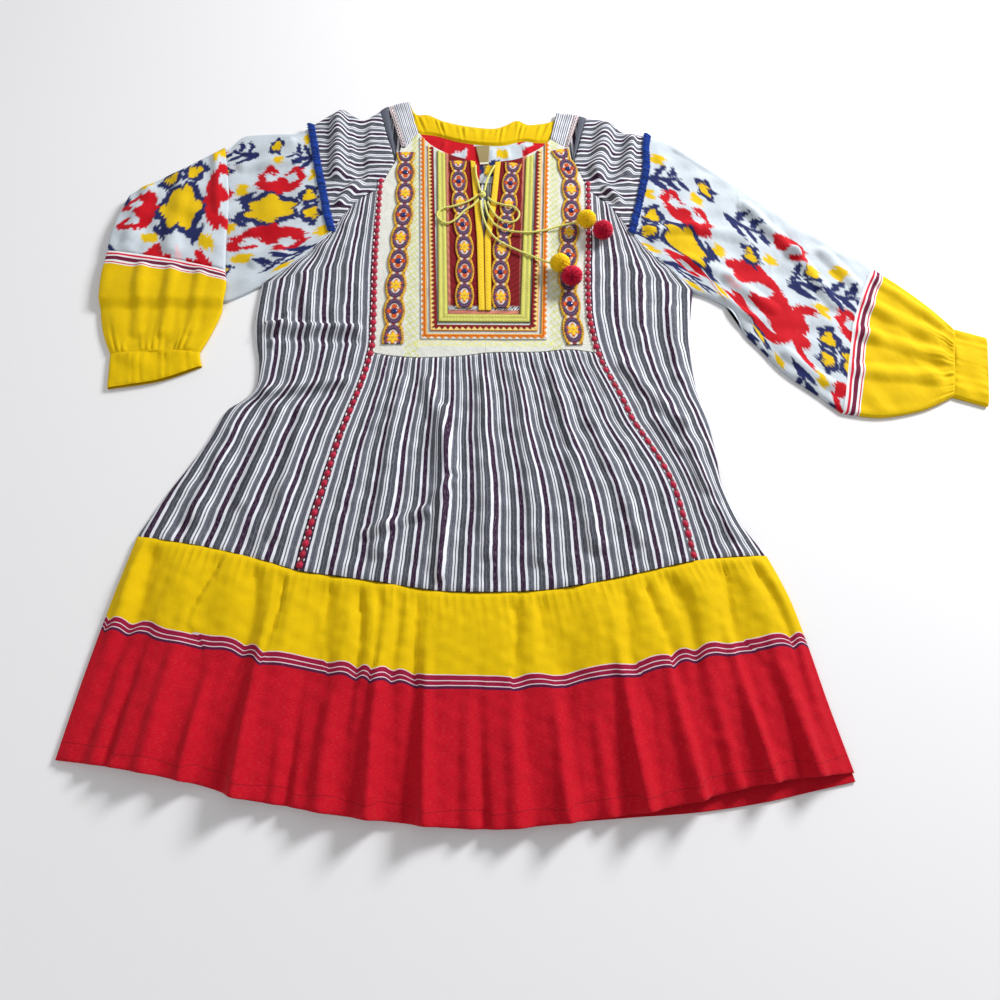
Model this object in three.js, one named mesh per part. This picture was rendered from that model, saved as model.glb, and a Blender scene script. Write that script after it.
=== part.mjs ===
// A tiered peasant midi dress, laid flat on its back, in millimetres with +Z up.
// Every cut piece is a thin wall; pieces that are sewn together keep a hair's gap at the seam.
// In the tables X runs to the right across the dress, Y runs up to the neck, and Y = 0 is
// the bib's bottom edge. The group at the end moves the dress's own middle to the origin.
import * as THREE from "three";

// Cloth and layers
const CLOTH = 1.2; // wall of a cut piece
const SEAM = 0.3; // gap between neighbours
const BACK_TOP = CLOTH; // the back lies on the floor
const LINED_TOP = BACK_TOP + SEAM + CLOTH; // top of what lies on the back
const RIM_LEVEL = LINED_TOP; // top of the front where it rests on the back
const FRONT_LEVEL = 5.6; // top of the front's cloth away from its rims
const TRIM_BASE = FRONT_LEVEL + SEAM; // underside of what is sewn on the front
const TRIM_CLOTH = 1; // wall of a ribbon or braid
const RIM_ROLL = 14; // width over which the front rolls down to its rim
const LABEL_CLOTH = 1;

// Neck cord and pompoms
const CORD_WIDTH = 2.5;
const CORD_LEVEL = 9.0; // the cord's centre line, over the ribbons
const CORD_STEP = 7.5;
const YELLOW_POMPOM = 20;
const CRIMSON_POMPOM = 21;

// Small forms that repeat along an edge
const BEAD_PITCH = 9.4;
const OVAL_PITCH = 33;
const TUFT_PITCH = 6;
const TIER_GATHERS = 42;
const CUFF_GATHERS = 7;

const rows = (names, values) =>
  values.map((row) => Object.fromEntries(names.split(" ").map((name, k) => [name, row[k]])));

// Outlines and seams, read down the garment
const SIDE_LEFT = rows("x y", [
  [-238, 80], [-239, 38], [-235, 13], [-228, -14], [-227, -42], [-237, -57],
  [-251, -69], [-261, -96], [-274, -123], [-289, -151], [-302, -179], [-307, -191],
]);
const SIDE_RIGHT = rows("x y", [
  [220, 76], [213, 46], [206, 13], [204, -22], [205, -52], [210, -81],
  [212, -116], [212, -149], [220, -179], [231, -199], [240, -214],
]);
const ARM_LEFT = rows("x y", [
  [-211, 322], [-205, 294], [-197, 256], [-188, 219], [-179, 180], [-171, 152],
]);
const ARM_RIGHT = rows("x y", [
  [200, 314], [195, 292], [192, 262], [185, 232], [175, 198], [162, 155],
]);
const UNDERARM_LEFT = rows("x y", [[-171, 152], [-190, 127], [-214, 102], [-238, 80]]);
const UNDERARM_RIGHT = rows("x y", [[162, 155], [179, 129], [199, 102], [220, 76]]);
const MITRE_LEFT = rows("x y", [[-122, 219], [-139, 207], [-155, 188], [-171, 152]]);
const MITRE_RIGHT = rows("x y", [[118, 219], [134, 206], [149, 182], [162, 155]]);
const PRINCESS_LEFT = rows("x y", [
  [-122, 219], [-122, 145], [-121, 96], [-119, 46], [-118, 10], [-119, -4], [-124, -33],
  [-132, -63], [-143, -103], [-151, -142], [-158, -175], [-166, -223],
]);
const PRINCESS_RIGHT = rows("x y", [
  [118, 219], [112, 145], [107, 96], [104, 46], [106, 16], [109, -4], [114, -23],
  [126, -53], [135, -80], [146, -102], [158, -127], [167, -157], [174, -218],
]);
const SHOULDER_TOP_LEFT = rows("x y", [
  [-130, 351], [-139, 342], [-150, 334], [-164, 344], [-177, 353], [-190, 343], [-211, 322],
]);
const SHOULDER_TOP_RIGHT = rows("x y", [
  [127, 346], [149, 342], [161, 335], [168, 323], [184, 319], [200, 314],
]);
const BINDING_OUTER_LEFT = rows("x y", [[-130, 351], [-116, 294], [-108, 262], [-113.5, 246], [-122, 219]]);
const BINDING_OUTER_RIGHT = rows("x y", [[127, 346], [113.6, 294], [105, 262], [110.6, 248], [118, 219]]);
const TIER_SEAM = rows("x y", [
  [-307, -191], [-248, -201], [-199, -213], [-166, -223], [-99, -233], [-50, -241], [0, -243],
  [49, -241], [99, -233], [149, -223], [174, -218], [207, -215], [240, -214],
]);
const HEM = rows("x y", [
  [-330, -362], [-278, -369], [-224, -380], [-189, -390], [-149, -397], [-114, -403], [-50, -411],
  [0, -414], [50, -411], [99, -407], [149, -399], [199, -390], [238, -386], [273, -384],
]);
const HEM_BACK = rows("x y", [
  [-331, -361], [-278, -368], [-224, -379], [-149, -396], [-50, -410], [0, -413],
  [50, -411], [99, -409], [149, -407], [199, -402], [236, -396], [273, -390],
]);
const TIER_LEFT = rows("x y", [[-307, -191], [-316, -245], [-324, -305], [-330, -362]]);
const TIER_RIGHT = rows("x y", [[240, -214], [252, -250], [259, -290], [265, -335], [273, -384]]);
const BIB_BOTTOM = rows("x y", [
  [-119, -4], [-99, -8], [-70, -10], [-30, -8], [0, -4], [49, -3], [79, 0], [109, -4],
]);
const FRONT_NECK_LEFT = rows("x y", [[-81, 311], [-66, 291], [-45, 276], [-25, 268], [-13, 263]]);
const FRONT_NECK_RIGHT = rows("x y", [[11, 263], [39, 270], [59, 283], [72, 294], [79, 304]]);
const BACK_NECK = rows("x y", [
  [-94, 366], [-85, 347], [-70, 346], [-50, 335], [-20, 327], [10, 324], [25, 330],
  [40, 339], [55, 332], [84, 339], [90, 353],
]);
const FACING_LOWER = rows("x y", [
  [-88, 318], [-80, 312], [-60, 309], [-35, 300], [-10, 295], [20, 294], [45, 302], [62, 300], [84, 300],
]);
const SLIT_POINT = { x: -4.2, y: 144 };

// Sleeves: both edges and both ends of each stretch
const LEFT_UPPER_TOP = rows("x y", [
  [-211, 322], [-224, 309], [-248, 307], [-273, 305], [-289, 301], [-297, 289], [-303, 277],
]);
const LEFT_UPPER_LOW = rows("x y", [
  [-238, 80], [-256, 68], [-276, 59], [-310, 62], [-345, 90], [-378, 140], [-393, 199],
]);
const LEFT_FOLD = rows("x y", [[-307, 281], [-352, 242], [-397, 203]]);
const LEFT_LOWER_RIGHT = rows("x y", [[-307, 281], [-297, 239], [-288, 190], [-283, 141], [-277, 95]]);
const LEFT_LOWER_LEFT = rows("x y", [[-397, 203], [-404, 165], [-405, 140], [-403, 120]]);
const LEFT_LINES = rows("x y", [[-277, 95], [-335, 109], [-403, 120]]);
const LEFT_BORDER_RIGHT = rows("x y", [[-277, 95], [-273, 74], [-275, 43], [-282, 14], [-288, -3]]);
const LEFT_BORDER_LEFT = rows("x y", [[-403, 120], [-402, 88], [-396, 52], [-386, 20], [-373, -6]]);
const LEFT_WRIST = rows("x y", [[-288, -3], [-325, -2], [-373, -6]]);
const LEFT_CUFF_RIGHT = rows("x y", [[-288, -3], [-286, -11], [-283, -19]]);
const LEFT_CUFF_LEFT = rows("x y", [[-373, -6], [-370, -25], [-367, -44]]);
const LEFT_CUFF_END = rows("x y", [[-283, -19], [-320, -35], [-367, -44]]);
const RIGHT_TOP = rows("x y", [
  [200, 314], [228, 301], [260, 271], [298, 231], [333, 196], [377, 154], [415, 122], [428, 110],
]);
const RIGHT_LOW = rows("x y", [
  [220, 76], [240, 67], [260, 50], [267, 24], [282, 1], [298, -24], [326, -50], [347, -71],
]);
const RIGHT_LINES = rows("x y", [[428, 110], [388, 40], [347, -71]]);
const RIGHT_BORDER_TOP = rows("x y", [[428, 110], [455, 82], [478, 54], [494, 29]]);
const RIGHT_BORDER_LOW = rows("x y", [[347, -71], [385, -76], [430, -68], [466, -53]]);
const RIGHT_WRIST = rows("x y", [[494, 29], [480, -12], [466, -53]]);
const RIGHT_CUFF_TOP = rows("x y", [[494, 29], [510, 23.5], [526, 18]]);
const RIGHT_CUFF_LOW = rows("x y", [[466, -53], [482, -58.5], [498, -64]]);
const RIGHT_CUFF_END = rows("x y", [[526, 18], [512, -23], [498, -64]]);

// Folds of the cloth: a line from its start to its end, its half width, and how far it stands up
const SHOULDER_FOLDS = rows("x0 y0 x1 y1 half rise", [
  [-179, 345, -172, 240, 13, 5], [-150, 335, -148, 235, 12, -2.2], [-148, 228, -166, 196, 9, 3],
  [152, 338, 130, 245, 15, 4.5], [168, 318, 148, 240, 11, -2.3], [181, 312, 168, 250, 10, 3],
  [140, 222, 152, 205, 9, 3],
]);
const BODY_FOLDS = rows("x0 y0 x1 y1 half rise", [
  [-222, 27, -135, 24, 8, 3.5], [-220, 14, -135, 11, 7, -1.8], [-216, -50, -142, -38, 9, 3.5],
  [-205, 40, -215, 5, 8, 2.5], [-200, -75, -222, -160, 12, 3], [-240, -95, -262, -175, 11, 2.5],
  [-178, -70, -190, -190, 11, 2.5], [-195, 90, -185, 40, 10, 2], [-150, 130, -150, 60, 9, 1.6],
  [-88, -40, -100, -205, 12, 2.6], [-45, -70, -47, -228, 9, 4], [-62, -40, -38, -130, 10, 3],
  [-112, -192, -62, -172, 8, 2.6], [-60, -172, -38, -145, 8, 2.6], [-8, -35, -6, -210, 11, 3],
  [28, -30, 38, -215, 11, 2.6], [62, -30, 88, -205, 11, 3], [90, -60, 128, -200, 9, 2.4],
  [134, -20, 182, -84, 10, 3], [182, -84, 196, -150, 10, 3], [160, -80, 178, -112, 8, 2.2],
  [192, 50, 188, -30, 10, 2.2], [160, 110, 158, 30, 10, 1.8], [205, -170, 214, -195, 9, 2.5],
]);
const SLEEVE_LEFT_FOLDS = rows("x0 y0 x1 y1 half rise", [
  [-224, 262, -280, 250, 12, 3.5], [-232, 292, -280, 272, 9, 3], [-212, 174, -256, 154, 14, 3.5],
  [-224, 124, -248, 108, 10, 3],
]);
const SLEEVE_LOWER_FOLDS = rows("x0 y0 x1 y1 half rise", [
  [-312, 262, -296, 180, 10, 2.5], [-345, 232, -338, 120, 14, 3], [-378, 205, -382, 120, 13, 3],
]);
const SLEEVE_RIGHT_FOLDS = rows("x0 y0 x1 y1 half rise", [
  [186, 160, 232, 164, 12, 4], [232, 164, 290, 150, 13, 3], [238, 292, 330, 208, 12, 4],
  [300, 198, 342, 128, 12, 5], [342, 128, 370, 58, 12, 5], [262, 92, 300, 52, 12, 3.5],
  [250, 64, 276, 40, 8, 4], [220, 118, 262, 96, 12, 3], [375, 130, 402, 82, 11, 3.5],
  [305, -5, 340, -40, 10, 3],
]);
const BORDER_LEFT_FOLDS = rows("x0 y0 x1 y1 half rise", [
  [-300, 92, -300, 22, 9, 2.4], [-330, 96, -326, 20, 10, 3], [-362, 100, -352, 20, 10, 3],
]);
const BORDER_RIGHT_FOLDS = rows("x0 y0 x1 y1 half rise", [
  [402, 62, 472, 14, 14, 4], [388, 22, 464, -8, 13, 4], [372, -24, 452, -32, 13, 4],
  [425, 92, 478, 34, 10, 3],
]);
const NO_FOLDS = [];

// Folds of the tier: place along the hem, how far up they reach (0 at the seam), size at the hem
const TIER_FOLDS = rows("x reach half rise", [
  [-300, 0.30, 11, 5], [-262, 0.10, 12, 6.5], [-232, 0.35, 9, 5], [-193, 0.05, 12, 8.5],
  [-163, 0.40, 9, 5], [-130, 0.20, 11, 6], [-95, 0.02, 12, 9], [-56, 0.05, 12, 9],
  [-20, 0.30, 11, 6], [15, 0.15, 12, 6.5], [52, 0.25, 11, 6], [82, 0.40, 9, 5],
  [108, 0.02, 12, 8.5], [149, 0.10, 12, 8], [180, 0.35, 9, 5], [207, 0.05, 11, 8], [242, 0.20, 11, 6],
]);

// Curves and distances
const curve = (table) => new THREE.SplineCurve(points2(table));
const chained = (...tables) => {
  const path = new THREE.CurvePath();
  tables.forEach((table) => path.add(curve(table)));
  return path;
};
const joined = (...tables) => tables.flatMap((table, k) => (k === 0 ? table : table.slice(1)));
const sampled = (table, count) => curve(table).getSpacedPoints(count);
const points2 = (table) => table.map(({ x, y }) => new THREE.Vector2(x, y));
const smooth = (t) => THREE.MathUtils.smoothstep(t, 0, 1);

function distanceToLine(x, y, ax, ay, bx, by) {
  const alongX = bx - ax;
  const alongY = by - ay;
  const share = ((x - ax) * alongX + (y - ay) * alongY) / (alongX * alongX + alongY * alongY);
  const t = THREE.MathUtils.clamp(share, 0, 1);
  return Math.hypot(x - ax - alongX * t, y - ay - alongY * t);
}

function distanceToPath(x, y, points) {
  let least = Infinity;
  for (let k = 1; k < points.length; k++) {
    const a = points[k - 1];
    const b = points[k];
    least = Math.min(least, distanceToLine(x, y, a.x, a.y, b.x, b.y));
  }
  return least;
}

function foldRise(x, y, folds) {
  let rise = 0;
  for (const fold of folds) {
    const near = distanceToLine(x, y, fold.x0, fold.y0, fold.x1, fold.y1) / fold.half;
    if (near < 1) rise += fold.rise * (1 - near * near) ** 2;
  }
  return rise;
}

// The front's level: it rolls down to the back at the sides and shoulders, and lies flat under trims
const RIMS = [SIDE_LEFT, SIDE_RIGHT, SHOULDER_TOP_LEFT, SHOULDER_TOP_RIGHT].map((table) =>
  sampled(table, 40));
const TRIM_PATHS = [
  joined(BINDING_OUTER_LEFT, PRINCESS_LEFT), joined(BINDING_OUTER_RIGHT, PRINCESS_RIGHT),
  ARM_LEFT, ARM_RIGHT, BIB_BOTTOM,
].map((table) => sampled(table, 60));
const TRIM_MARGIN = 7; // flat cloth on each side of a trim's line
const TRIM_FADE = 10; // and the width over which folds come in beyond it

function rolled(distance) {
  if (distance >= RIM_ROLL) return FRONT_LEVEL;
  const left = 1 - distance / RIM_ROLL;
  return RIM_LEVEL + (FRONT_LEVEL - RIM_LEVEL) * Math.sqrt(1 - left * left);
}

function frontTop(x, y, folds) {
  const rim = Math.min(...RIMS.map((path) => distanceToPath(x, y, path)));
  const trim = Math.min(...TRIM_PATHS.map((path) => distanceToPath(x, y, path)));
  const free = smooth((trim - TRIM_MARGIN) / TRIM_FADE) * smooth(rim / RIM_ROLL);
  return rolled(rim) + foldRise(x, y, folds) * free;
}

// A patch of cloth between four edges: across runs u, along runs v
function patch(start, end, near, far) {
  const [s, e, n, f] = [start, end, near, far].map((edge) => (Array.isArray(edge) ? curve(edge) : edge));
  const corners = [s.getPoint(0), s.getPoint(1), e.getPoint(0), e.getPoint(1)];
  return (u, v) => {
    const [a, b, c, d] = [s.getPointAt(u), e.getPointAt(u), n.getPointAt(v), f.getPointAt(v)];
    const blend = (axis) =>
      (1 - v) * a[axis] + v * b[axis] + (1 - u) * c[axis] + u * d[axis] -
      (1 - v) * ((1 - u) * corners[0][axis] + u * corners[1][axis]) -
      v * ((1 - u) * corners[2][axis] + u * corners[3][axis]);
    return new THREE.Vector2(blend("x"), blend("y"));
  };
}

// Evenly spaced steps from 0 to 1, closer together at both ends as crowd nears 1
function steps(count, crowd = 0) {
  const step = (_, k) => k / count - (crowd * Math.sin((2 * Math.PI * k) / count)) / (2 * Math.PI);
  return Array.from({ length: count + 1 }, step);
}

const planGrid = (place, across, along) => along.map((v) => across.map((u) => place(u, v)));

// Draws the grid's four edges in by half a seam, or by more where a gap is given
function drawnIn(grid, { start = SEAM / 2, end = SEAM / 2, sides = SEAM / 2 } = {}) {
  const last = grid.length - 1;
  const side = grid[0].length - 1;
  const moved = grid.map((line) => line.map((point) => point.clone()));
  const across = grid[0][side].clone().sub(grid[0][0]);
  const leftward = Math.sign(across.cross(grid[last][0].clone().sub(grid[0][0])));
  const pull = (gap, j, i, from, to) => {
    const along = to.clone().sub(from).normalize();
    moved[j][i].addScaledVector(new THREE.Vector2(-along.y, along.x), gap * leftward);
  };
  for (let i = 0; i <= side; i++) {
    const before = Math.max(i - 1, 0);
    const after = Math.min(i + 1, side);
    pull(start, 0, i, grid[0][before], grid[0][after]);
    pull(-end, last, i, grid[last][before], grid[last][after]);
  }
  for (let j = 0; j <= last; j++) {
    const before = Math.max(j - 1, 0);
    const after = Math.min(j + 1, last);
    pull(-sides, j, 0, grid[before][0], grid[after][0]);
    pull(sides, j, side, grid[before][side], grid[after][side]);
  }
  return moved;
}

const raised = (grid, height) =>
  grid.map((line, j) => line.map((p, i) => new THREE.Vector3(p.x, p.y, height(p, j, i))));
const lowered = (grid, drop) =>
  grid.map((line) => line.map((p) => new THREE.Vector3(p.x, p.y, p.z - drop)));

// Closed solids from lists of points and faces, turned outward if their volume comes out negative
function solid(points, faces) {
  let volume = 0;
  const cross = new THREE.Vector3();
  for (const [a, b, c] of faces) volume += points[a].dot(cross.copy(points[b]).cross(points[c]));
  const outward = volume < 0 ? faces.map(([a, b, c]) => [a, c, b]) : faces;
  const geometry = new THREE.BufferGeometry();
  const places = points.flatMap((p) => [p.x, p.y, p.z]);
  geometry.setAttribute("position", new THREE.Float32BufferAttribute(places, 3));
  geometry.setIndex(outward.flat());
  geometry.computeVertexNormals();
  return geometry;
}

// A wall of cloth between an upper and a lower grid of the same size
function wall(upper, lower) {
  const along = upper.length;
  const across = upper[0].length;
  const points = [...upper.flat(), ...lower.flat()];
  const top = (j, i) => j * across + i;
  const under = (j, i) => along * across + j * across + i;
  const faces = [];
  for (let j = 1; j < along; j++) {
    for (let i = 1; i < across; i++) {
      faces.push([top(j - 1, i - 1), top(j - 1, i), top(j, i)]);
      faces.push([top(j - 1, i - 1), top(j, i), top(j, i - 1)]);
      faces.push([under(j - 1, i - 1), under(j, i), under(j - 1, i)]);
      faces.push([under(j - 1, i - 1), under(j, i - 1), under(j, i)]);
    }
  }
  const edge = (j0, i0, j1, i1) => {
    faces.push([top(j0, i0), under(j1, i1), top(j1, i1)]);
    faces.push([top(j0, i0), under(j0, i0), under(j1, i1)]);
  };
  for (let i = 1; i < across; i++) {
    edge(0, i - 1, 0, i);
    edge(along - 1, i, along - 1, i - 1);
  }
  for (let j = 1; j < along; j++) {
    edge(j, 0, j - 1, 0);
    edge(j - 1, across - 1, j, across - 1);
  }
  return solid(points, faces);
}

// A flattened tube of cloth: rings run under the sleeve and back over it. A closed start is folded shut.
function sleeve(upper, lower, closedStart = false) {
  const across = upper[0].length;
  const inset = (line, i) => {
    const inward = i === 0 ? line[1] : line[across - 2];
    const step = new THREE.Vector2(inward.x - line[i].x, inward.y - line[i].y).setLength(CLOTH);
    return new THREE.Vector3(line[i].x + step.x, line[i].y + step.y, line[i].z);
  };
  const ring = (over, under) => [...under, ...[...over].reverse()];
  const inner = (line, drop) =>
    line.map((p, i) => {
      const place = i === 0 || i === across - 1 ? inset(line, i) : p;
      return new THREE.Vector3(place.x, place.y, p.z - drop);
    });
  const outerRings = upper.map((line, j) => ring(line, lower[j]));
  const from = closedStart ? 1 : 0;
  const innerRing = (line, j) => ring(inner(line, CLOTH), inner(lower[j + from], -CLOTH));
  const innerRings = upper.slice(from).map(innerRing);
  const size = across * 2;
  const points = [...outerRings.flat(), ...innerRings.flat()];
  const firstInner = outerRings.length * size;
  const faces = [];
  const quad = (a, b, c, d) => faces.push([a, b, c], [a, c, d]);
  for (let j = 1; j < outerRings.length; j++) {
    for (let k = 0; k < size; k++) {
      const next = (k + 1) % size;
      quad((j - 1) * size + k, (j - 1) * size + next, j * size + next, j * size + k);
    }
  }
  for (let j = 1; j < innerRings.length; j++) {
    for (let k = 0; k < size; k++) {
      const next = (k + 1) % size;
      const near = firstInner + (j - 1) * size;
      quad(near + next, near + k, near + size + k, near + size + next);
    }
  }
  const lastOuter = (outerRings.length - 1) * size;
  const lastInner = firstInner + (innerRings.length - 1) * size;
  for (let k = 0; k < size; k++) {
    const next = (k + 1) % size;
    quad(lastOuter + k, lastOuter + next, lastInner + next, lastInner + k);
    if (!closedStart) quad(next, k, firstInner + k, firstInner + next);
  }
  if (closedStart) {
    for (let i = 1; i < across; i++) {
      const over = size - 1 - i;
      quad(i, i - 1, over + 1, over);
      quad(firstInner + i - 1, firstInner + i, firstInner + over, firstInner + over + 1);
    }
  }
  return solid(points, faces);
}

// A flat piece: an outline of points, raised to a level
function flatPiece(outline, level, thickness) {
  const options = { depth: thickness, bevelEnabled: false, curveSegments: 1 };
  return new THREE.ExtrudeGeometry(new THREE.Shape(outline), options).translate(0, 0, level);
}

// A ribbon along a path; reach gives each side's width, and how far it stands up, at a distance along it
function ribbon(table, level, thickness, crown, samples, reach) {
  const path = curve(table);
  const length = path.getLength();
  const upper = [];
  const lower = [];
  for (let k = 0; k <= samples; k++) {
    const at = path.getPointAt(k / samples);
    const along = path.getTangentAt(k / samples);
    const width = reach((k / samples) * length, k);
    const top = level + thickness + crown * width.crown;
    const left = new THREE.Vector3(at.x - along.y * width.left, at.y + along.x * width.left, top);
    const right = new THREE.Vector3(at.x + along.y * width.right, at.y - along.x * width.right, top);
    upper.push([left, right]);
    lower.push([left, right].map((p) => new THREE.Vector3(p.x, p.y, level)));
  }
  return wall(upper, lower);
}

// A round cord along a route that was laid by hand
function cord(table) {
  const places = table.map(({ x, y, z }) => new THREE.Vector3(x, y, z ?? CORD_LEVEL));
  const route = new THREE.CatmullRomCurve3(places);
  const section = new THREE.Shape();
  section.absarc(0, 0, CORD_WIDTH / 2, 0, 2 * Math.PI);
  const count = Math.round(route.getLength() / CORD_STEP);
  return new THREE.ExtrudeGeometry(section, { steps: count, extrudePath: route, curveSegments: 4 });
}

// A pompom: locks of yarn, each a three-sided spike, fused at their roots into a core
const CORE_SHARE = 0.7; // the core's radius, as a share of the pompom's
const LOCK_UNEVEN = 0.06;
const FACE_GROUP = 4; // one face of every four stays bare, so that the locks stand apart
const POMPOM_SQUASH = 0.88;

function pompom(width) {
  const core = new THREE.IcosahedronGeometry((width / 2) * CORE_SHARE, 1).getAttribute("position");
  const points = [];
  const faces = [];
  for (let face = 0; face < core.count / 3; face++) {
    const corners = [0, 1, 2].map((k) => new THREE.Vector3().fromBufferAttribute(core, 3 * face + k));
    const [a, b, c] = [0, 1, 2].map((k) => points.length + k);
    points.push(...corners);
    if (face % FACE_GROUP === 1) {
      faces.push([a, b, c]);
      continue;
    }
    const reach = (width / 2) * (1 - LOCK_UNEVEN * (1 + Math.sin(face * face)));
    const middle = corners[0].clone().add(corners[1]).add(corners[2]);
    const tip = points.push(middle.setLength(reach)) - 1;
    faces.push([a, b, tip], [b, c, tip], [c, a, tip]);
  }
  return solid(points, faces).scale(1, 1, POMPOM_SQUASH);
}

// Finishes
const finish = (color, roughness = 0.85) =>
  new THREE.MeshStandardMaterial({ color, roughness, metalness: 0 });
const STRIPES = finish(0x8f939c);
const YELLOW = finish(0xebcd05, 0.75);
const RED = finish(0xd7142d, 0.75);
const IKAT = finish(0xd7e1e6);
const CREAM = finish(0xefe8cf);
const LABEL = finish(0x9a8a4a, 0.6);
const DARK = finish(0x50565f);
const CRIMSON = finish(0xaa0032, 0.9);
const BLUE = finish(0x0f46aa, 0.8);
const PURPLE = finish(0x4a3048);
const NEON = finish(0xe1e13c, 0.7);
const MAROON = finish(0x8c1923);
const ORANGE = finish(0xf0821e);

const dress = new THREE.Group();
const cloth = new THREE.Group();
dress.add(cloth);

function add(name, geometry, material, x = 0, y = 0, z = 0) {
  const mesh = new THREE.Mesh(geometry, material);
  mesh.name = name;
  mesh.position.set(x, y, z);
  cloth.add(mesh);
}

// Back: flat sheets under everything
const BACK_TIER_STEPS = 24;

function makeBack() {
  const armLeft = sampled(joined(ARM_LEFT, UNDERARM_LEFT), 14);
  const armRight = sampled(joined(ARM_RIGHT, UNDERARM_RIGHT), 14);
  const seam = sampled(TIER_SEAM, BACK_TIER_STEPS);
  const body = [
    ...sampled(BACK_NECK, 20),
    ...sampled(SHOULDER_TOP_RIGHT, 10),
    ...armRight.slice(1),
    ...sampled(SIDE_RIGHT, 18).slice(1),
    ...seam.slice(1, -1).reverse(),
    ...sampled(SIDE_LEFT, 18).reverse(),
    ...armLeft.slice(1, -1).reverse(),
    ...sampled(SHOULDER_TOP_LEFT, 12).reverse(),
  ];
  add("back_body", flatPiece(body, 0, CLOTH), STRIPES);
  const right = [...TIER_RIGHT.slice(0, -1), HEM_BACK.at(-1)];
  const place = patch(TIER_SEAM, HEM_BACK, TIER_LEFT, right);
  const tier = drawnIn(planGrid(place, steps(BACK_TIER_STEPS), steps(2)), { start: SEAM });
  add("back_tier", wall(raised(tier, () => CLOTH), raised(tier, () => 0)), RED);
}

const YOKE_LOWER = 232; // how far down the inside of the back yoke is built
const LABEL_CORNERS = rows("x y", [[-12, 292], [5, 293], [3, 262], [-7, 261]]);

function makeNeck() {
  const facing = [...sampled(BACK_NECK, 24), ...sampled(FACING_LOWER, 20).reverse()];
  add("neck_facing", flatPiece(facing, BACK_TOP + SEAM, CLOTH), YELLOW);
  const seam = sampled(FACING_LOWER, 20).map((p) => new THREE.Vector2(p.x, p.y - SEAM));
  const ends = [seam.at(-1), seam[0]].map(({ x }) => new THREE.Vector2(x, YOKE_LOWER));
  add("back_yoke", flatPiece([...seam, ...ends], BACK_TOP + SEAM, CLOTH), IKAT);
  add("label", flatPiece(points2(LABEL_CORNERS), LINED_TOP + SEAM, LABEL_CLOTH), LABEL);
}

const BIB_STEPS = 20; // shared by the bib and the skirt gathered under it

// Bib: one stiff embroidered panel, slit from the neck
function makeBib() {
  const lowerLeft = sampled(PRINCESS_LEFT, 30).filter((p) => p.y > 0);
  const lowerRight = sampled(PRINCESS_RIGHT, 30).filter((p) => p.y > 0);
  const inLeft = (points) => points.map((p) => new THREE.Vector2(p.x + SEAM, p.y));
  const inRight = (points) => points.map((p) => new THREE.Vector2(p.x - SEAM, p.y));
  const topLeft = rows("x y", [[-113, 246], [-106.5, 262], [-101, 285.6], [-96, 285.8]]);
  const topRight = rows("x y", [[110, 248], [103.5, 262], [101, 290.6], [95, 290.8]]);
  const corner = ({ x, y }, shift) => new THREE.Vector2(x + shift, y);
  const bottom = sampled(BIB_BOTTOM, BIB_STEPS).map(
    (p) => new THREE.Vector2(p.x - SEAM * Math.sign(p.x), p.y + SEAM));
  const outline = [
    ...sampled(FRONT_NECK_LEFT, 8),
    new THREE.Vector2(SLIT_POINT.x, SLIT_POINT.y),
    ...sampled(FRONT_NECK_RIGHT, 8),
    ...topRight.map((p) => corner(p, -SEAM)).reverse(),
    ...inRight(lowerRight),
    ...bottom.reverse(),
    ...inLeft(lowerLeft).reverse(),
    ...topLeft.map((p) => corner(p, SEAM)),
  ];
  add("bib", flatPiece(outline, FRONT_LEVEL - CLOTH, CLOTH), CREAM);
}

// A panel of the front
function frontPanel(name, place, across, along, folds, material, gaps) {
  const top = raised(drawnIn(planGrid(place, across, along), gaps), (p) => frontTop(p.x, p.y, folds));
  add(name, wall(top, lowered(top, CLOTH)), material);
}

// The shoulder and the side panel below it take the same steps along their mitred seam
const CROWDED = 0.5;
const SHARED_ACROSS = steps(10, CROWDED);
const SHOULDER_ALONG = steps(8, 0.4);

// The strips beside the neck: their ends at the shoulder and on the bib, from the neck outward.
// The outermost strip runs down to a narrow tip.
const NECK_STRIPS = rows("side top low", [
  ["left", [[-94, 366], [-114, 360], [-120, 358], [-130, 351]],
    [[-81, 311.8], [-95.3, 287.4], [-101, 287.2], [-106.5, 262.5]]],
  ["right", [[90, 353], [111, 348], [118, 347], [127, 346]],
    [[79, 304.8], [95.3, 292.2], [101, 292.2], [103.5, 262.5]]],
]);
const TIP_WIDTH = 0.5;
const TIP_SLANT = 4;

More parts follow.
